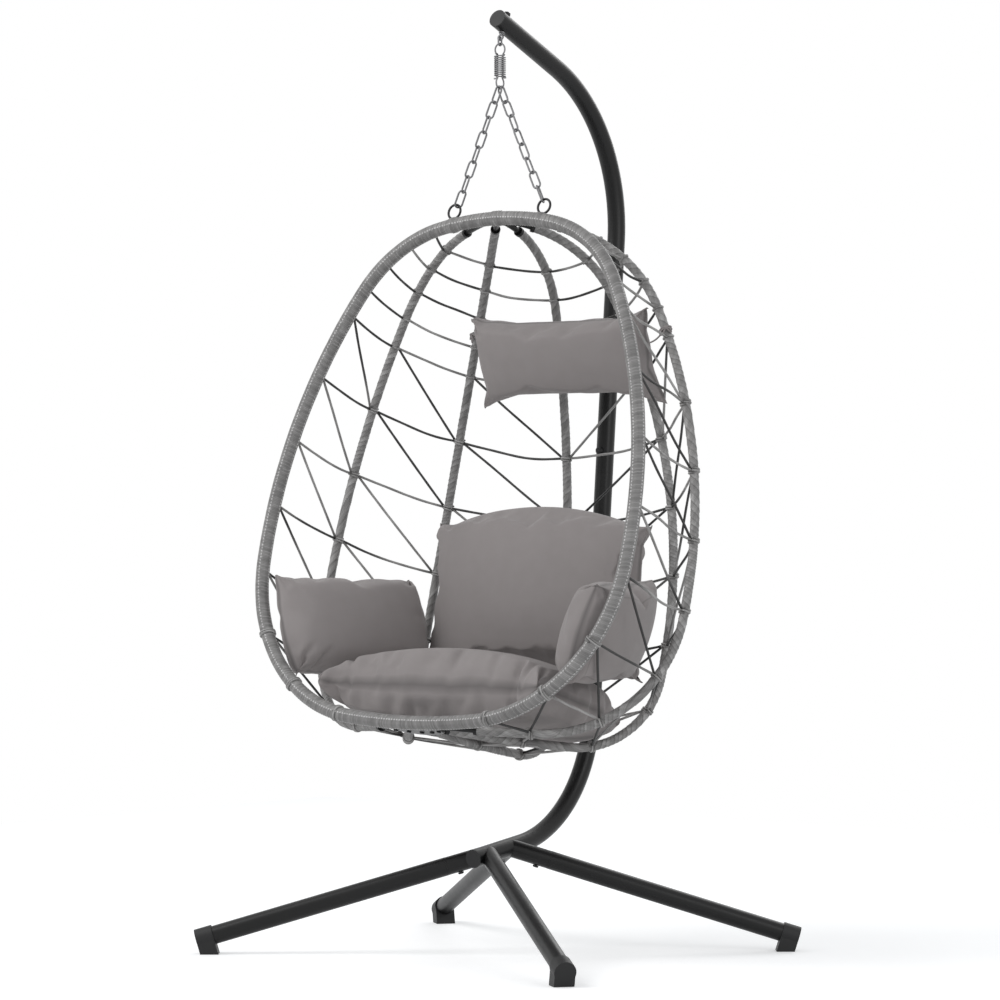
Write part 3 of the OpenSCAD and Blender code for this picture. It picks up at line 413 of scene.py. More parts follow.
# ---------------------------------------------------------------- surfaces
def egg_to_room(p):
    """From the egg's own axes in mm to the room in metres: turned back by the lean, then moved."""
    x, y, z = p[..., 0], p[..., 1], p[..., 2]
    return MM * np.stack([x, HOOP_Y + y * math.cos(LEAN) + z * math.sin(LEAN),
        HOOP_Z - y * math.sin(LEAN) + z * math.cos(LEAN)], -1)


def lay(name, grid, material, round_closed=True, long_closed=False, shade=None, size=(1.0, 1.0)):
    """A mesh from a grid of points [along, round, xyz] in metres. Open ends of a closed round get a fan
    to their middle. The UV map is the place along and round times size, and shade a point attribute."""
    n, m = grid.shape[:2]
    rows, cols = (n if long_closed else n - 1), (m if round_closed else m - 1)
    i, j = np.meshgrid(np.arange(rows), np.arange(cols), indexing="ij")
    i2, j2 = (i + 1) % n, (j + 1) % m
    quads = np.stack([i * m + j, i2 * m + j, i2 * m + j2, i * m + j2], -1).reshape(-1, 4)
    verts = grid.reshape(-1, 3)
    u = np.stack([i, i + 1, i + 1, i], -1).reshape(-1, 4) * (size[0] / rows)
    v = np.stack([j, j, j + 1, j + 1], -1).reshape(-1, 4) * (size[1] / cols)
    values = None if shade is None else np.broadcast_to(shade, (n, m)).reshape(-1)
    fans = []
    if round_closed and not long_closed:
        middles = np.stack([grid[0].mean(0), grid[-1].mean(0)])
        verts = np.concatenate([verts, middles])
        ring = np.arange(m)
        after = (ring + 1) % m
        fans = [np.stack([np.full(m, n * m), ring, after], -1),
            np.stack([np.full(m, n * m + 1), (n - 1) * m + after, (n - 1) * m + ring], -1)]
        if values is not None:
            values = np.concatenate([values, [values[0], values[-1]]])
    fans = np.concatenate(fans) if len(fans) else np.zeros((0, 3), int)
    a, b, c = verts[quads[:, 0]], verts[quads[:, 1]], verts[quads[:, 2]]
    d = verts[quads[:, 3]]
    volume = (np.einsum("ij,ij->i", a, np.cross(b, c)) + np.einsum("ij,ij->i", a, np.cross(c, d))).sum()
    if volume < 0:
        quads, u, v, fans = quads[:, ::-1], u[:, ::-1], v[:, ::-1], fans[:, ::-1]
    return fill_mesh(name, verts, quads, fans, np.stack([u, v], -1).reshape(-1, 2), values, material)


def fill_mesh(name, verts, quads, fans, uv, values, material):
    """Puts whole arrays of points, four-sided and three-sided faces, UVs and shades into one mesh."""
    mesh = bpy.data.meshes.new(name)
    loops = np.concatenate([quads.reshape(-1), fans.reshape(-1)]).astype(np.int32)
    starts = np.concatenate([np.arange(len(quads)) * 4, len(quads) * 4 + np.arange(len(fans)) * 3])
    totals = np.concatenate([np.full(len(quads), 4), np.full(len(fans), 3)])
    mesh.vertices.add(len(verts))
    mesh.vertices.foreach_set("co", verts.astype(np.float32).ravel())
    mesh.loops.add(len(loops))
    mesh.loops.foreach_set("vertex_index", loops)
    mesh.polygons.add(len(starts))
    mesh.polygons.foreach_set("loop_start", starts.astype(np.int32))
    mesh.polygons.foreach_set("loop_total", totals.astype(np.int32))
    mesh.polygons.foreach_set("use_smooth", np.ones(len(starts), bool))
    layer = mesh.uv_layers.new(name="UVMap")
    flat = np.zeros((len(loops), 2), np.float32)
    flat[:len(uv)] = uv
    layer.data.foreach_set("uv", flat.ravel())
    if values is not None:
        mark = mesh.attributes.new("shade", "FLOAT", "POINT")
        mark.data.foreach_set("value", values.astype(np.float32))
    mesh.update(calc_edges=True)
    mesh.validate()
    mesh.materials.append(material)
    piece = bpy.data.objects.new(name, mesh)
    bpy.context.scene.collection.objects.link(piece)
    return piece


def bundle(name, pieces):
    """One object from several meshes that are made alike."""
    first = pieces[0]
    if len(pieces) > 1:
        with bpy.context.temp_override(active_object=first, selected_editable_objects=pieces):
            bpy.ops.object.join()
    first.name = first.data.name = name
    return first


def wobble(at, seed, sizes=(1.0, 2.3, 4.9), shares=(0.6, 0.3, 0.15)):
    """Smooth unevenness along a line: a sum of sines with set phases, about -1 to 1."""
    phases = np.random.default_rng(seed).uniform(0, 2 * math.pi, len(sizes))
    return sum(s * np.sin(at * f + p) for f, s, p in zip(sizes, shares, phases))


def scatter(n):
    """A number from 0 to 1 that jumps about from one n to the next: the broken part of a large sine."""
    return np.modf(np.abs(np.sin(12.9898 * n + 0.37) * 43758.5453))[0]


def left_of(h):
    """The direction to the left of a heading: (-sine, cosine)."""
    return np.stack([-np.sin(h), np.cos(h)], -1)


def walk(start, steps, at):
    """Points and headings at distances along a chain of arcs. start is (x, y, heading in degrees), a step
    (radius, turn in degrees). In each arc the point goes round its centre as the heading turns by
    distance / radius."""
    x, y, h = start[0], start[1], math.radians(start[2])
    begins, states, run = [], [], 0.0
    for radius, turned in steps:
        side, angle = math.copysign(1.0, turned), math.radians(turned)
        begins.append(run)
        states.append((x, y, h, radius, side))
        centre = np.array([x, y]) + side * radius * left_of(np.array(h))
        h += angle
        x, y = centre - side * radius * left_of(np.array(h))
        run += radius * abs(angle)
    at = np.asarray(at, float)
    which = np.clip(np.searchsorted(begins, at, "right") - 1, 0, len(steps) - 1)
    s = np.array(states)[which]
    into = at - np.array(begins)[which]
    centre = s[:, :2] + (s[:, 4] * s[:, 3])[:, None] * left_of(s[:, 2])
    heading = s[:, 2] + s[:, 4] * into / s[:, 3]
    return centre - (s[:, 4] * s[:, 3])[:, None] * left_of(heading), heading


# the arcs of each kind of line, (radius, turn in degrees), and the egg's seven lines from left to right:
# angle round the egg's axis, first distance out from it, and arcs
HOOP = [(689.0, -12), (279.0, -48), (1060.91, -33), (342.956, -81), (1539.38, -6)]
OUTER = [(560.0, -12), (294.0, -48), (1157.56, -33), (278.71, -81), (2049.38, -6)]
INNER = [(400.0, -8), (262.0, -46), (1198.18, -39), (185.023, -81), (2802.38, -6)]
CENTRE = [(330.0, -8), (215.0, -56), (2404.08, -20), (112.617, -90), (3244.62, -6)]
LINES = [(180.0, 0.0, HOOP), (155.0, 52.0, OUTER), (129.5, 38.0, INNER), (90.0, 32.0, CENTRE),
    (50.5, 38.0, INNER), (25.0, 52.0, OUTER), (0.0, 0.0, HOOP)]
HOOP_R, RIB_R, ROPE_R = 14.5, 9.5, 2.75
# level ropes 1 to 5 are the upper rows, 6 to 9 the wall's and 10 to 12 the floor's; SHARES says how far
# along each line they are
UPPER_ROWS, WALL_ROWS, ROWS = 5, 9, 12
SHARES = [0.105 + 0.04 * (m - 1) if m <= UPPER_ROWS else 0.265 + 0.088 * (m - 5) for m in range(1, ROWS + 1)]


def line_length(i):
    """Length of line i: each arc's radius times its turn, added up."""
    return sum(radius * abs(math.radians(turned)) for radius, turned in LINES[i][2])


def line_at(i, at):
    """Places, ways and outward directions at distances along line i, in the egg's axes, mm."""
    angle, r0, steps = LINES[i]
    a = math.radians(angle)
    p, h = walk((0.0, r0, 90.0), steps, at)
    out = np.array([math.cos(a), math.sin(a), 0.0])
    up = np.array([0.0, 0.0, 1.0])
    place = p[:, 1:2] * out - p[:, 0:1] * up
    way = np.sin(h)[:, None] * out - np.cos(h)[:, None] * up
    outward = np.cos(h)[:, None] * out + np.sin(h)[:, None] * up
    return place, way, outward


def sleeve(place, out, side, radius, angles):
    """Points round a line: place + radius * (cos angle * side + sin angle * out)."""
    c, s = np.cos(angles)[None, :, None], np.sin(angles)[None, :, None]
    return place[:, None, :] + radius[..., None] * (c * side[:, None, :] + s * out[:, None, :])


# ---------------------------------------------------------------- hoop winding
# mm along the hoop to a flat turn, mesh steps to a turn, and the angles of the lines of small stitches
TURN, STEPS_A_TURN = 3.3, 4
STITCHED = np.radians([-8.0, 82.0, 172.0, 262.0])
# in mm: the winding's radius, how high a turn and a strand stand, half a strand's width, and the places
# where the winding is thicker, each with its height and reach
WINDING_R, HUMP, STRAND, STRAND_HALF = 13.75, 0.55, 0.75, 1.35
EYELET_X, EYELET_OUT, EYELET_LUMP, EYELET_RUN = 117.0, 29.9, 2.6, 9.0
HUB_LUMP, HUB_RUN = 0.75, 11.0


def hoop_angles():
    """Angles round the hoop, close together on the four stitched lines and wider between them."""
    spread = np.radians([-9.0, -5.5, -2.7, 0.0, 2.7, 5.5, 9.0])
    return np.sort(np.concatenate([line + np.concatenate([spread, np.radians([30.0, 45.0, 60.0])])
        for line in STITCHED]))


def hoop_winding(i, name):
    """Half of the hoop's winding. Flat turns a few mm wide run round the tube, each a low rounded hump;
    four strands run along it, over two turns and under the next two; the winding is thicker at the
    eyelets and in a band over the top hub. Radius = base + hump + strand + thicker places."""
    whole = line_length(i)
    at = np.linspace(0, whole, int(whole / TURN) * STEPS_A_TURN + 1)
    place, _, out = line_at(i, at)
    front = np.broadcast_to(np.array([0.0, -1.0, 0.0]), place.shape)
    angles = hoop_angles()
    s, a = at[:, None], angles[None, :]
    slant = 0.9 * np.sin(a)
    phase = s / TURN + slant
    inside = 2 * (phase - np.floor(phase)) - 1
    hump = HUMP * np.sqrt(np.clip(1 - inside ** 4, 0, 1))
    strand = np.zeros((len(at), len(angles)))
    for k, line in enumerate(STITCHED):
        apart = np.abs((a - line + math.pi) % (2 * math.pi) - math.pi) * HOOP_R
        over = np.clip(0.5 + 1.1 * np.cos(math.pi * s / TURN + k * math.pi), 0, 1)
        strand = np.maximum(strand, np.exp(-(apart / STRAND_HALF) ** 4) * over)
    top_r = HOOP[0][0]
    eyelet = top_r * math.asin(EYELET_X / (top_r + EYELET_OUT))
    thick = EYELET_LUMP * np.exp(-((s - eyelet) / EYELET_RUN) ** 2) + HUB_LUMP * (1 - np.tanh(s - HUB_RUN))
    lumps = 0.18 * wobble(s / 21.0 + 0.8 * np.sin(a), 5 + i)
    radius = WINDING_R + hump + STRAND * strand + thick + lumps
    grid = egg_to_room(sleeve(place, out, front, radius, angles))
    turn_tone = 0.26 * (scatter(np.floor(phase) + 31.0 * np.floor(2 * a / math.pi + 0.1)) - 0.5)
    # painted shade: the winding is 0.35 darker in the low grooves between its turns; turn_tone is random
    # tone and the strands are lighter
    shade = 0.46 + turn_tone + 0.50 * strand - 0.35 * (1 - hump / HUMP)
    piece = lay(name, grid, WICKER, shade=np.clip(shade, 0, 1), size=(whole * MM, 0.09))
    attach(piece, "basket")
    return piece


# ---------------------------------------------------------------- rib windings
# how far from each rib's ends its winding begins
WRAP_FROM = {1: 83.0, 2: 39.0, 3: 45.0, 4: 39.0, 5: 83.0}
# the winding's radius, mm along the rib to a turn of all its bands, and heights in mm
WRAP_R, LEAD, BANDS, STRANDS = 8.75, 42.0, 3, 4
SLOPE, EDGE, RIBBING, LUMPS, END_LUMP = 0.62, 0.2, 0.16, 0.42, 0.8


def rib_winding(i, name, node, turn_way):
    """A rib's winding: three slanted bands that follow each other round the rod, each band made of four
    strands, with a raised edge on the overlap. Radius = base + band slope + edge + strand ribs + lumps."""
    begin, whole = WRAP_FROM[i], line_length(i)
    at = np.arange(begin, whole - begin, 1.15)
    place, way, out = line_at(i, at)
    side = np.cross(way, out)
    angles = np.linspace(0, 2 * math.pi, 33)[:-1]
    s, a = at[:, None], angles[None, :]
    lead = LEAD + 5.0 * wobble(s / 160.0, 11 + i)
    phase = BANDS * (s / lead + turn_way * a / (2 * math.pi))
    band = phase - np.floor(phase)
    fine = 0.5 + 0.5 * np.cos(2 * math.pi * STRANDS * band)
    slope = SLOPE * band ** 1.4
    edge = np.exp(-((band - 0.97) / 0.05) ** 2) * EDGE
    lumps = LUMPS * wobble(s / 17.0 + a, 21 + i) * (0.6 + 0.4 * np.sin(2 * a + s / 40.0))
    ends = END_LUMP * (np.exp(-((s - begin) / 5.0) ** 2) + np.exp(-((s - whole + begin) / 5.0) ** 2))
    radius = WRAP_R + slope + edge + RIBBING * fine + lumps * 0.8 + ends
    grid = egg_to_room(sleeve(place, out, side, radius, angles))
    # painted shade: darker low on each band's slope, between its strands' ribs and most in the step under
    # its raised edge; the two wobbles are random tone
    shade = 0.36 + 0.14 * band + 0.12 * fine + 0.10 * wobble(np.floor(phase) * 2.1, 31 + i)
    shade = shade + 0.08 * wobble(s / 5.0 + 3 * a, 51 + i) - 0.24 * np.exp(-(band / 0.07) ** 2)
    piece = lay(name, grid, WICKER, shade=np.clip(shade, 0, 1), size=(whole * MM, 0.06))
    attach(piece, "basket")
    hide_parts(node)
    return piece


left_half = hoop_winding(0, "hoop_winding_left")
hoop_winding(6, "hoop_winding_right")
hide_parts("hoop_wrap")
for i, rib in enumerate(["outer_left", "inner_left", "centre", "inner_right", "outer_right"], 1):
    rib_winding(i, "winding_" + rib, "wrap_" + rib, 1 if i <= 3 else -1)


# ---------------------------------------------------------------- rope net
ROPE_SIDES, PLY_TWIST, POINTS_A_TURN = 9, 0.16, 30


def unit(v):
    """Directions of length 1."""
    return v / np.linalg.norm(v, axis=-1, keepdims=True)


def knot(i, m):
    """Place, way and outward direction of line i at level rope m, and the radius over its winding."""
    place, way, out = line_at(i, [SHARES[m - 1] * line_length(i)])
    return place[0], way[0], out[0], (HOOP_R if i % 6 == 0 else RIB_R)


def leave(i, m, toward):
    """Where a rope towards a point leaves line i at level m: it comes out from under the winding."""
    place, way, _, r = knot(i, m)
    v = toward - place
    return place + (r - 1.2) * unit(v - v.dot(way) * way)


def square_to(points, askew):
    """Two directions square to a line of points and to each other. The line nowhere runs along askew."""
    way = unit(np.gradient(points, axis=0))
    side = unit(np.cross(way, np.array(askew)))
    return np.cross(side, way), side


def rope_surface(points, radius):
    """A tube round a line of points in mm, with two plies that wind round it: the radius follows the size
    of a cosine that turns with the length. Returns the grid, how high each point stands on its ply, from
    0 to 1, and the length so far."""
    out, side = square_to(points, (0.13, 0.21, 0.97))
    length = np.concatenate([[0], np.cumsum(np.linalg.norm(np.diff(points, axis=0), axis=1))])
    angles = np.linspace(0, 2 * math.pi, ROPE_SIDES + 1)[:-1]
    ply = np.abs(np.cos(angles[None, :] + PLY_TWIST * length[:, None] / ROPE_R))
    return sleeve(points, out, side, radius * (0.9 + 0.12 * ply ** 0.6), angles), ply, length


def run_points(p, q, sag, sway):
    """A rope between two points: a shallow hanging curve with a slight wave. The fall is 4t(1-t) times the
    sag, and the wave a sine of the place along it."""
    t = np.linspace(0, 1, 26)[:, None]
    span = np.linalg.norm(q - p)
    down = np.array([0.0, math.sin(LEAN), -math.cos(LEAN)])
    out = unit(np.array([(p[0] + q[0]) / 2, (p[1] + q[1]) / 2, 0.0]))
    fall = 4 * t * (1 - t)
    wave = np.sin(2 * math.pi * t) * np.sin(math.pi * t) ** 0.5
    return p + t * (q - p) + down * sag * span * fall + (out * 0.6 - down * 0.5) * sway * span * wave


def turn_points(i, m, turns, pitch):
    """A rope wound round a line: the circle about the line moves along it by pitch each turn."""
    place, way, out, r = knot(i, m)
    side = np.cross(way, out)
    t = np.linspace(0, turns, int(POINTS_A_TURN * turns))[:, None]
    a = 2 * math.pi * t
    reach = r + 0.9
    return place + reach * (np.cos(a) * side + np.sin(a) * out) + way * pitch * (t - turns / 2)


def dress_rope(points, key, tone, radius=ROPE_R * 0.97):
    """One rope as a small mesh. Its two ends are as light as tone says, from 0, black, to 1, pale, and it
    goes from one to the other near its middle. It is darker in the grooves between its plies and close by
    its knots, painted shade where it goes in under the winding."""
    grid, ply, length = rope_surface(points, radius)
    t = (length / length[-1])[:, None]
    change = 1 / (1 + np.exp((t - 0.5 - 0.25 * math.sin(5 * key)) / 0.05))
    light = tone[0] * change + tone[1] * (1 - change)
    # painted shade: darker in the grooves between the plies, lighter on their crowns
    shade = light * (0.72 + 0.5 * ply + 0.2 * wobble(t * 3 + key, 41))
    # painted shade: darker close by both ends, where the rope goes in under the winding
    shade = shade * (1 - 0.55 * np.exp(-(t / 0.07) ** 2) - 0.55 * np.exp(-((1 - t) / 0.07) ** 2))
    return lay("rope", egg_to_room(grid), ROPE, shade=np.clip(shade, 0, 1))


def rope_tone(key):
    """A rope's lightness at its two ends: about a third are black, a third pale, and the rest change
    from one to the other."""
    draw = scatter(key)
    if draw < 0.30:
        return 0.03, 0.05
    if draw < 0.66:
        return 0.62, 0.56
    return (0.04, 0.6) if draw < 0.83 else (0.6, 0.05)


def net_piece(name, panels, first, last, node):
    """The ropes of one net panel or floor: its level ropes from first to last, the slanted ones between
    them, and the turns on the panel's lines. Each rope's sag and wave come from its own numbers."""
    pieces = []
    for i in panels:
        for m in range(first, last + 1):
            p, q = knot(i, m)[0], knot(i + 1, m)[0]
            start, end = leave(i, m, q), leave(i + 1, m, p)
            key = 7.3 * i + 3.1 * m
            sag = 0.028 + 0.014 * math.sin(key) if m <= WALL_ROWS else 0.006
            sway = 0.026 * math.cos(1.7 * key) if m <= WALL_ROWS else 0.003
            pieces.append(dress_rope(run_points(start, end, sag, sway), key, rope_tone(key)))
            for line in ([1, 0] if i == 0 else [i + 1]):
                if line % 6 == 0 and m <= WALL_ROWS:
                    continue
                points = turn_points(line, m, *((1.04, 0.0) if m <= UPPER_ROWS else (2.04, 4.6)))
                pieces.append(dress_rope(points, key, (0.6, 0.6), 2.2))
        for m in range(max(first - 1, UPPER_ROWS), last):
            here, there = (m, m + 1) if i < 3 else (m + 1, m)
            start, end = leave(i, here, knot(i + 1, there)[0]), leave(i + 1, there, knot(i, here)[0])
            key = 5.1 * i + 2.7 * m + 0.5
            bow = 0.010 * math.sin(key) if m <= WALL_ROWS else 0.002
            pieces.append(dress_rope(run_points(start, end, 0.008, bow), key, rope_tone(key)))
    piece = bundle(name, pieces)
    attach(piece, "basket")
    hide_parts(node)
    return piece


for i in range(6):
    net_piece("ropes_upper_%d" % (i + 1), [i], 1, 5, "net_upper_%d" % (i + 1))
    net_piece("ropes_lower_%d" % (i + 1), [i], 6, 9, "net_lower_%d" % (i + 1))
net_piece("ropes_floor_left", [0, 1, 2], 10, 12, "net_floor_left")
net_piece("ropes_floor_right", [3, 4, 5], 10, 12, "net_floor_right")


# ---------------------------------------------------------------- spring coil
WIRE_R, COILS = 1.3, 10.0


def spring_coil():
    """The coil: a round wire whose centre goes round ten times while it climbs evenly from the foot of the
    CAD coil to its top. Its radius is half of the outside less the wire's own."""
    lo, hi = (np.array(c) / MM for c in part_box("spring_coil"))
    centre = (lo + hi) / 2
    round_r = (hi[0] - lo[0]) / 2 - WIRE_R
    t = np.linspace(0, 1, 900)
    z = lo[2] + WIRE_R + (hi[2] - lo[2] - 2 * WIRE_R) * t
    a = 2 * math.pi * COILS * t
    points = np.stack([centre[0] + round_r * np.cos(a), centre[1] + round_r * np.sin(a), z], -1)
    way = unit(np.gradient(points, axis=0))
    out = np.stack([np.cos(a), np.sin(a), 0 * a], -1)
    side = np.cross(way, out)
    angles = np.linspace(0, 2 * math.pi, 13)[:-1]
    grid = MM * sleeve(points, out, side, np.full((len(t), len(angles)), WIRE_R), angles)
    piece = lay("coil_wire", grid, ZINC)
    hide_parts("spring_coil")
    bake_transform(piece)
    return piece


spring_coil()


# ---------------------------------------------------------------- cushions
# the sewn outline of each cushion before it is stuffed, in mm, as in the CAD but for the arms' rounder
# corners, and where each lies
SEAT = dict(w=640.0, h=365.0, t=130.0, round_=0.14, taper=0.12, rise=30.0, full=0.3)
BACK = dict(w=600.0, h=417.0, t=120.0, round_=0.04, bow=-10.0, arch=60.0)
ARM = dict(w=376.0, h=236.0, t=114.0, round_=0.13)
PILLOW = dict(w=470.0, h=203.0, t=92.0, round_=0.03)
SEAT_AT = np.array([0.0, 197.0, 86.0 - EGG_LEN])
BACK_AT, BACK_PITCH = np.array([0.0, 124.0, 748.5]), 83.0
PILLOW_AT, PILLOW_PITCH = np.array([78.0, 120.0, 1228.0]), 108.0
ARM_X, ARM_Y, ARM_Z, ARM_LEAN, ARM_TURN = 332.0, -74.0, 668.0, 18.0, 17.0
X, Y, Z = 0, 1, 2
# a cushion's mesh: size of a cell in mm, and how much smaller the cloth starts than it ends
CELL, START_W, START_T = 7.5, 0.985, 0.94
# how far a cushion may stand out of its CAD solid and stays off its neighbours, in m, and how far the
# flange's sewn line is from the seam, in mm
PROUD, GAP, FLANGE = 0.004, 0.0008, 27.0
# how far the seam's gathers reach into a face, and how near the seam they begin, in mm
FADE, SEAM = 38.0, 5.0


def cushion_points(u, v, side, w, h, t, round_=0.1, taper=0.0, bow=0.0, rise=0.0, full=0.42, arch=0.0):
    """A crowned half of a cushion, u and v from -1 to 1 over its face. The sides draw in between the
    corners, the corners round off, the far edge is arched, and the crown is 1 less the square of u to the
    power 0.42, times 1 less the square of v to the power full."""
    corner = 1 - round_ * u * u * v * v
    crown = np.clip(1 - u * u, 0, 1) ** 0.42 * np.clip(1 - v * v, 0, 1) ** full
    x = w / 2 * u * (1 - 0.05 * (1 - v * v) * np.abs(u)) * corner * (1 - taper * np.clip(v, 0, 1) ** 2)
    y = (h / 2 - np.where(v > 0, arch * u * u, 0)) * v * (1 - 0.05 * (1 - u * u) * np.abs(v)) * corner
    half = t / 2 + (rise if side > 0 else 0.0)
    return np.stack([x, y, side * half * crown + bow * u * u], -1)


def turn(p, axis, degrees):
    """Turns points about an axis: of the two that follow it, the first goes to first times cosine less
    second times sine, and the second to first times sine and second times cosine."""
    a = math.radians(degrees)
    one, two = (axis + 1) % 3, (axis + 2) % 3
    turned = np.array(p, float)
    turned[..., one] = p[..., one] * math.cos(a) - p[..., two] * math.sin(a)
    turned[..., two] = p[..., one] * math.sin(a) + p[..., two] * math.cos(a)
    return turned


def seat_place(p):
    """The seat lies level in the egg, so it leans back with it."""
    return egg_to_room(p + SEAT_AT)


def back_place(p):
    """The back cushion stands nearly upright and leans back a little."""
    return MM * (turn(p, X, BACK_PITCH) + BACK_AT)


def pillow_place(p):
    """The head pillow leans forward, as the ribs that it is tied to do."""
    return MM * (turn(p, X, PILLOW_PITCH) + PILLOW_AT)


def arm_place(side):
    """An arm cushion on the left, -1, or the right, 1: stood on its long edge, leaned out and turned."""

    def place(p):
        """A point of the cushion in the room, in metres."""
        stood = turn(turn(p, Z, 90.0), Y, 90.0)
        leant = turn(turn(stood, Y, side * ARM_LEAN), Z, side * ARM_TURN)
        return MM * (leant + np.array([side * ARM_X, ARM_Y, ARM_Z]))
    return place


def swell(piece, cap):
    """Blows the cushion up as cloth: pressure inside, no weight, twenty frames, and no point moves further
    than cap metres from where it began. The result is applied, so no cloth is left on the piece."""
    scene = bpy.context.scene
    rest = np.zeros(len(piece.data.vertices) * 3, np.float32)
    piece.data.vertices.foreach_get("co", rest)
    cloth = piece.modifiers.new("swell", "CLOTH")
    cloth.settings.quality = 6
    cloth.settings.mass = 0.25
    cloth.settings.tension_stiffness = 12
    cloth.settings.compression_stiffness = 12
    cloth.settings.shear_stiffness = 4
    cloth.settings.bending_stiffness = 0.35
    cloth.settings.shrink_min = -0.06
    cloth.settings.use_pressure = True
    cloth.settings.uniform_pressure_force = 4.0
    cloth.settings.effector_weights.gravity = 0.0
    cloth.point_cache.frame_start = 1
    cloth.point_cache.frame_end = 24
    for f in range(1, 21):
        scene.frame_set(f)
    shown = piece.evaluated_get(bpy.context.evaluated_depsgraph_get())
    now = np.zeros(len(shown.data.vertices) * 3, np.float32)
    shown.data.vertices.foreach_get("co", now)
    piece.modifiers.remove(cloth)
    scene.frame_set(1)
    rest, now = rest.reshape(-1, 3), now.reshape(-1, 3)
    move = now - rest
    far = np.linalg.norm(move, axis=1, keepdims=True)
    move *= np.minimum(1.0, cap / np.maximum(far, 1e-9))
    piece.data.vertices.foreach_set("co", (rest + move).astype(np.float32).ravel())
    piece.data.update()


def hold_in(piece, node, free, reach):
    """Brings points that stand too far out of the CAD cushion back. They may stand PROUD metres out, and
    reach metres more where the surface looks along the free direction."""
    solid = nodes[node].data
    tree = BVHTree.FromPolygons([v.co for v in solid.vertices], [p.vertices for p in solid.polygons])
    way = Vector(free).normalized()
    for v in piece.data.vertices:
        spot, normal, _, far = tree.find_nearest(v.co)
        most = PROUD + reach * max(0.0, normal.dot(way))
        if (v.co - spot).dot(normal) > 0 and far > most:
            v.co = spot + (v.co - spot) * (most / far)


def solids_tree(names):
    """One search tree of the CAD solids with these names."""
    points, faces = [], []
    for name in names:
        mesh = nodes[name].data
        faces += [[len(points) + k for k in p.vertices] for p in mesh.polygons]
        points += [v.co.copy() for v in mesh.vertices]
    return BVHTree.FromPolygons(points, faces)


def keep_clear(piece, node):
    """Brings points that touch a winding, a rope or another CAD cushion out to GAP metres from it."""
    for tree in (FRAME_TREE, solids_tree([name for name in CUSHIONS if name != node])):
        for v in piece.data.vertices:
            spot, normal, _, _ = tree.find_nearest(v.co, 0.03)
            if spot is not None and (v.co - spot).dot(normal) < GAP:
                v.co = spot + normal * GAP


def groove(across, width):
    """A crease's cross-section: a groove with a low soft ridge beside it."""
    return np.exp(-(across / width) ** 2) - 0.7 * np.exp(-((across - 1.5 * width) / (1.3 * width)) ** 2)


def pucker(u, v, side, w, h, gather, seed, folds, flange):
    """How far the cloth of one face stands in or out, in mm. The seam gathers it in short folds that fade
    inwards, each corner throws folds towards the middle, folds are long creases, each (u, v, direction,
    length, width, depth, face), and the flange is a sewn line that runs along the edge."""
    from_u, from_v = (1 - np.abs(u)) * w / 2, (1 - np.abs(v)) * h / 2
    fade_u = np.exp(-from_u / FADE) * (1 - np.exp(-from_u / SEAM))
    fade_v = np.exp(-from_v / FADE) * (1 - np.exp(-from_v / SEAM))
    f1 = wobble(v * h / 2 / 11.0 + np.sign(u) * 3, seed, (1.0, 1.9, 0.47), (0.6, 0.3, 0.5))
    f2 = wobble(u * w / 2 / 13.0 + np.sign(v) * 5, seed + 1, (1.0, 1.7, 0.41), (0.6, 0.3, 0.5))
    rise = gather * (fade_u * f1 + fade_v * f2)
    far = np.hypot(from_u, from_v)
    spread = np.arctan2(from_v, from_u)
    ray = np.sin(8.0 * spread + seed + 2 * np.sign(u) + 3 * np.sign(v) + side)
    rise = rise + 1.5 * gather * ray * np.exp(-(far / 75.0) ** 2) * (1 - np.exp(-(far / 16.0) ** 2))
    for cu, cv, angle, length, width, deep, face in folds:
        if face != side:
            continue
        x, y = (u - cu) * w / 2, (v - cv) * h / 2
        c, s = math.cos(math.radians(angle)), math.sin(math.radians(angle))
        along, across = x * c + y * s, y * c - x * s
        rise = rise - deep * np.exp(-(along / length) ** 2) * groove(across + 0.0025 * along ** 2, width)
    if flange == side:
        rise = rise - 4.0 * np.exp(-((np.minimum(from_u, from_v) - FLANGE) / 3.5) ** 2)
    return rise


def pull_ears(piece, place, u, v, inner, shape, ear):
    """Draws the flat corners out to the points that a sewn cushion has: ear mm at the corner itself, and
    less with the distance from it."""
    far = np.hypot((1 - np.abs(u)) * shape["w"] / 2, (1 - np.abs(v)) * shape["h"] / 2)
    pull = ear * np.exp(-(far / (19.0 + 0.7 * ear)) ** 2)
    out = np.stack([np.sign(u) * pull, np.sign(v) * pull, 0 * u], -1)
    move = (place(out) - place(0 * out)).reshape(-1, 3)
    move = np.concatenate([move, move[inner.reshape(-1)]])
    spots = np.zeros(len(move) * 3, np.float32)
    piece.data.vertices.foreach_get("co", spots)
    piece.data.vertices.foreach_set("co", (spots + move.reshape(-1)).astype(np.float32))
    piece.data.update()


def cells(a):
    """The four corners of each cell of a grid, in order round it."""
    return np.stack([a[:-1, :-1], a[1:, :-1], a[1:, 1:], a[:-1, 1:]], 2)


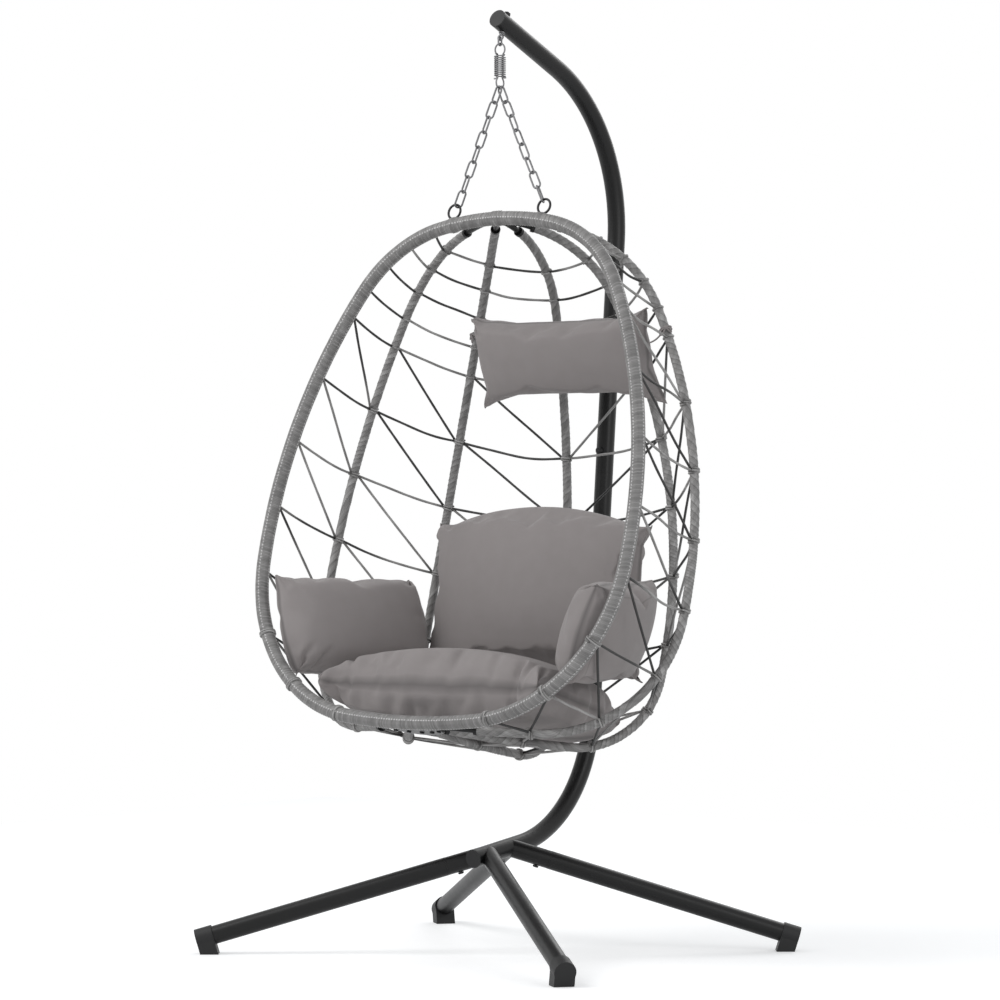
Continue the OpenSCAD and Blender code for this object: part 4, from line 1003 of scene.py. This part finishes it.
def cushion(name, node, place, shape, gather, seed, cap, free, reach, folds, flange=0, ear=11.0):
    """A stuffed cushion of two crowned faces that meet in a seam. The grid is finer towards the seam, by
    0.25 a + 0.75 sine of a. Its folds are laid first, then it is blown up as cloth by cap metres at most
    and held close to the CAD cushion. flange is the face that has a sewn line along its edge, or 0."""
    w, h, t = shape["w"], shape["h"], shape["t"]
    slim = dict(shape, w=w * START_W, h=h * START_W, t=t * START_T)
    u, v = (np.linspace(-1, 1, int(size / CELL) + 1) for size in (w, h))
    u, v = np.meshgrid(*(0.25 * a + 0.75 * np.sin(math.pi / 2 * a) for a in (u, v)), indexing="ij")
    halves = []
    for side in (1, -1):
        p = cushion_points(u, v, side, **slim)
        p[..., 2] += side * pucker(u, v, side, w, h, gather, seed, folds, flange)
        halves.append(p)
    top, low = (half.reshape(-1, 3) for half in halves)
    n, m = u.shape
    index = np.arange(n * m).reshape(n, m)
    inner = np.zeros((n, m), bool)
    inner[1:-1, 1:-1] = True
    low_index = index.copy()
    low_index[inner] = n * m + np.arange(inner.sum())
    verts = np.concatenate([top, low[inner.reshape(-1)]])
    quads = np.concatenate([cells(index).reshape(-1, 4), cells(low_index).reshape(-1, 4)[:, ::-1]])
    flat = cells(np.stack([u * w / 2, v * h / 2], -1) * MM).reshape(-1, 4, 2)
    uv = np.concatenate([flat, flat[:, ::-1]]).reshape(-1, 2)
    piece = fill_mesh(name, place(verts), quads, np.zeros((0, 3), int), uv, None, CLOTH)
    far = np.minimum((1 - np.abs(u)) * w / 2, (1 - np.abs(v)) * h / 2)
    # painted shade: the seam attribute marks the seam crease and the flange's sewn groove, where the cloth
    # is darkened
    sewn = [np.exp(-(far / 2.6) ** 2) + (0.8 * np.exp(-((far - FLANGE) / 2.5) ** 2) if flange == side else 0)
        for side in (1, -1)]
    mark = piece.data.attributes.new("seam", "FLOAT", "POINT")
    mark.data.foreach_set("value", np.concatenate([sewn[0].reshape(-1), sewn[1][inner]]).astype(np.float32))
    swell(piece, cap)
    hold_in(piece, node, free, reach)
    pull_ears(piece, place, u, v, inner, shape, ear)
    keep_clear(piece, node)
    piece.data.update()
    smooth = piece.modifiers.new("even", "SUBSURF")
    smooth.levels = smooth.render_levels = 1
    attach(piece, "basket")
    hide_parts(node)
    return piece


CUSHIONS = ["seat_cushion", "back_cushion", "arm_cushion_left", "arm_cushion_right", "head_pillow"]
FRAME_TREE = solids_tree([name for name in nodes if name.startswith(("net_", "wrap_", "hoop_wrap"))])

cushion("seat_pad", "seat_cushion", seat_place, SEAT, gather=4.2, seed=3, cap=0.028,
    free=(0, -0.95, 0.3), reach=0.011, ear=24.0, folds=[
        (-0.80, -0.72, 98.0, 60.0, 8.0, 13.0, 1), (0.80, -0.74, 84.0, 60.0, 8.0, 12.0, 1),
        (-0.86, -0.85, 60.0, 45.0, 7.0, 9.0, -1), (-0.45, -0.80, 92.0, 50.0, 12.0, 5.0, 1),
        (0.12, -0.80, 88.0, 55.0, 10.0, 5.0, 1), (0.45, -0.82, 95.0, 50.0, 10.0, 5.0, 1),
        (-0.2, -0.80, 90.0, 40.0, 14.0, 4.0, -1)])
cushion("back_pad", "back_cushion", back_place, BACK, gather=1.0, seed=8, cap=0.024,
    free=(0, -1, 0), reach=0.008, folds=[
        (-0.85, 0.30, 75.0, 60.0, 10.0, 3.0, 1), (0.80, -0.55, 120.0, 60.0, 12.0, 3.0, 1)])
cushion("arm_pad_left", "arm_cushion_left", arm_place(-1), ARM, gather=2.0, seed=13, cap=0.02,
    free=(1, -0.3, 0.3), reach=0.008, folds=[
        (0.30, 0.15, -62.0, 55.0, 11.0, 7.0, 1), (0.62, 0.02, 8.0, 38.0, 12.0, 6.0, 1),
        (-0.72, -0.42, 28.0, 38.0, 6.0, 4.0, 1), (-0.62, -0.70, 50.0, 42.0, 6.0, 5.0, 1),
        (-0.35, 0.55, 12.0, 80.0, 12.0, 3.0, 1), (0.85, -0.3, 100.0, 45.0, 9.0, 5.0, 1)])
cushion("arm_pad_right", "arm_cushion_right", arm_place(1), ARM, gather=2.0, seed=17, cap=0.02,
    free=(-1, -0.3, 0.3), reach=0.008, flange=1, folds=[
        (-0.75, 0.30, 60.0, 45.0, 8.0, 5.0, -1), (-0.60, -0.35, -40.0, 40.0, 8.0, 4.0, -1),
        (0.1, 0.5, 75.0, 40.0, 10.0, 3.0, 1)])
cushion("head_pad", "head_pillow", pillow_place, PILLOW, gather=1.4, seed=23, cap=0.018,
    free=(0, -1, 0), reach=0.008, folds=[
        (-0.88, -0.50, 40.0, 35.0, 7.0, 4.0, 1), (0.86, 0.45, 50.0, 35.0, 7.0, 4.0, 1),
        (-0.80, 0.6, -35.0, 40.0, 7.0, 4.0, 1)])


# ---------------------------------------------------------------- the pillow's ties
TIE_R = 1.7


def tube(points, radius, closed=False):
    """A soft round tape of the pillow's cloth along points in mm, with one radius or one for each point."""
    out, side = square_to(points, (0.21, 0.13, 0.97))
    angles = np.linspace(0, 2 * math.pi, 11)[:-1]
    reach = np.broadcast_to(np.asarray(radius, float).reshape(-1, 1), (len(points), len(angles)))
    grid = MM * sleeve(points, out, side, reach, angles)
    return lay("tie", grid, CLOTH, long_closed=closed)


def tie(name, u, i):
    """A tie from the pillow's seam to line i: a short strap, two turns round the winding, a knot and the
    two ears of its bow. Each turn is a circle about the line, each ear a drooping loop from the knot."""
    seam = pillow_place(cushion_points(np.array(u), np.array(0.25), 1, **PILLOW)) / MM
    whole = line_length(i)
    place, way, _ = line_at(i, np.arange(0.1 * whole, 0.6 * whole, 1.0))
    room = egg_to_room(place) / MM
    k = int(np.argmin(np.linalg.norm(room - seam, axis=1)))
    centre, along = room[k], unit(egg_to_room(place[k] + way[k]) - egg_to_room(place[k]))
    gap = seam - centre
    front = np.array([u, -1.2, 0.0])
    toward, face = (unit(way_to - way_to.dot(along) * along) for way_to in (gap, front))
    across = np.cross(along, face)
    a = np.linspace(0, 2 * math.pi, 33)[:-1, None]
    reach = RIB_R + TIE_R + 0.7
    ring = reach * (np.cos(a) * face + np.sin(a) * across)
    pieces = [tube(centre + step * along + ring, TIE_R, True) for step in (-2.2, 2.2)]
    knot_at = centre + (reach + 2.0) * face
    t = np.linspace(0, 1, 14)[:, None]
    strap = seam + (centre + reach * toward - seam) * t - np.array([0, 0, 3.0]) * np.sin(math.pi * t)
    pieces.append(tube(strap, TIE_R))
    bead = np.linspace(-1, 1, 12)
    pieces.append(tube(knot_at + 4.5 * bead[:, None] * across, 0.4 + 3.6 * np.sqrt(1 - 0.99 * bead ** 2)))
    for way_out in (-1, 1):
        b = np.linspace(0, math.pi, 18)[:, None]
        ear = 15.0 * np.sin(b) * (way_out * across * 0.8 - np.array([0, 0, 0.75]))
        pieces.append(tube(knot_at + ear + 4.0 * np.sin(2 * b) * along, TIE_R * 0.9))
    piece = bundle(name, pieces)
    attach(piece, "basket")


tie("pillow_tie_left", -1.0, 2)
tie("pillow_tie_right", 1.0, 5)
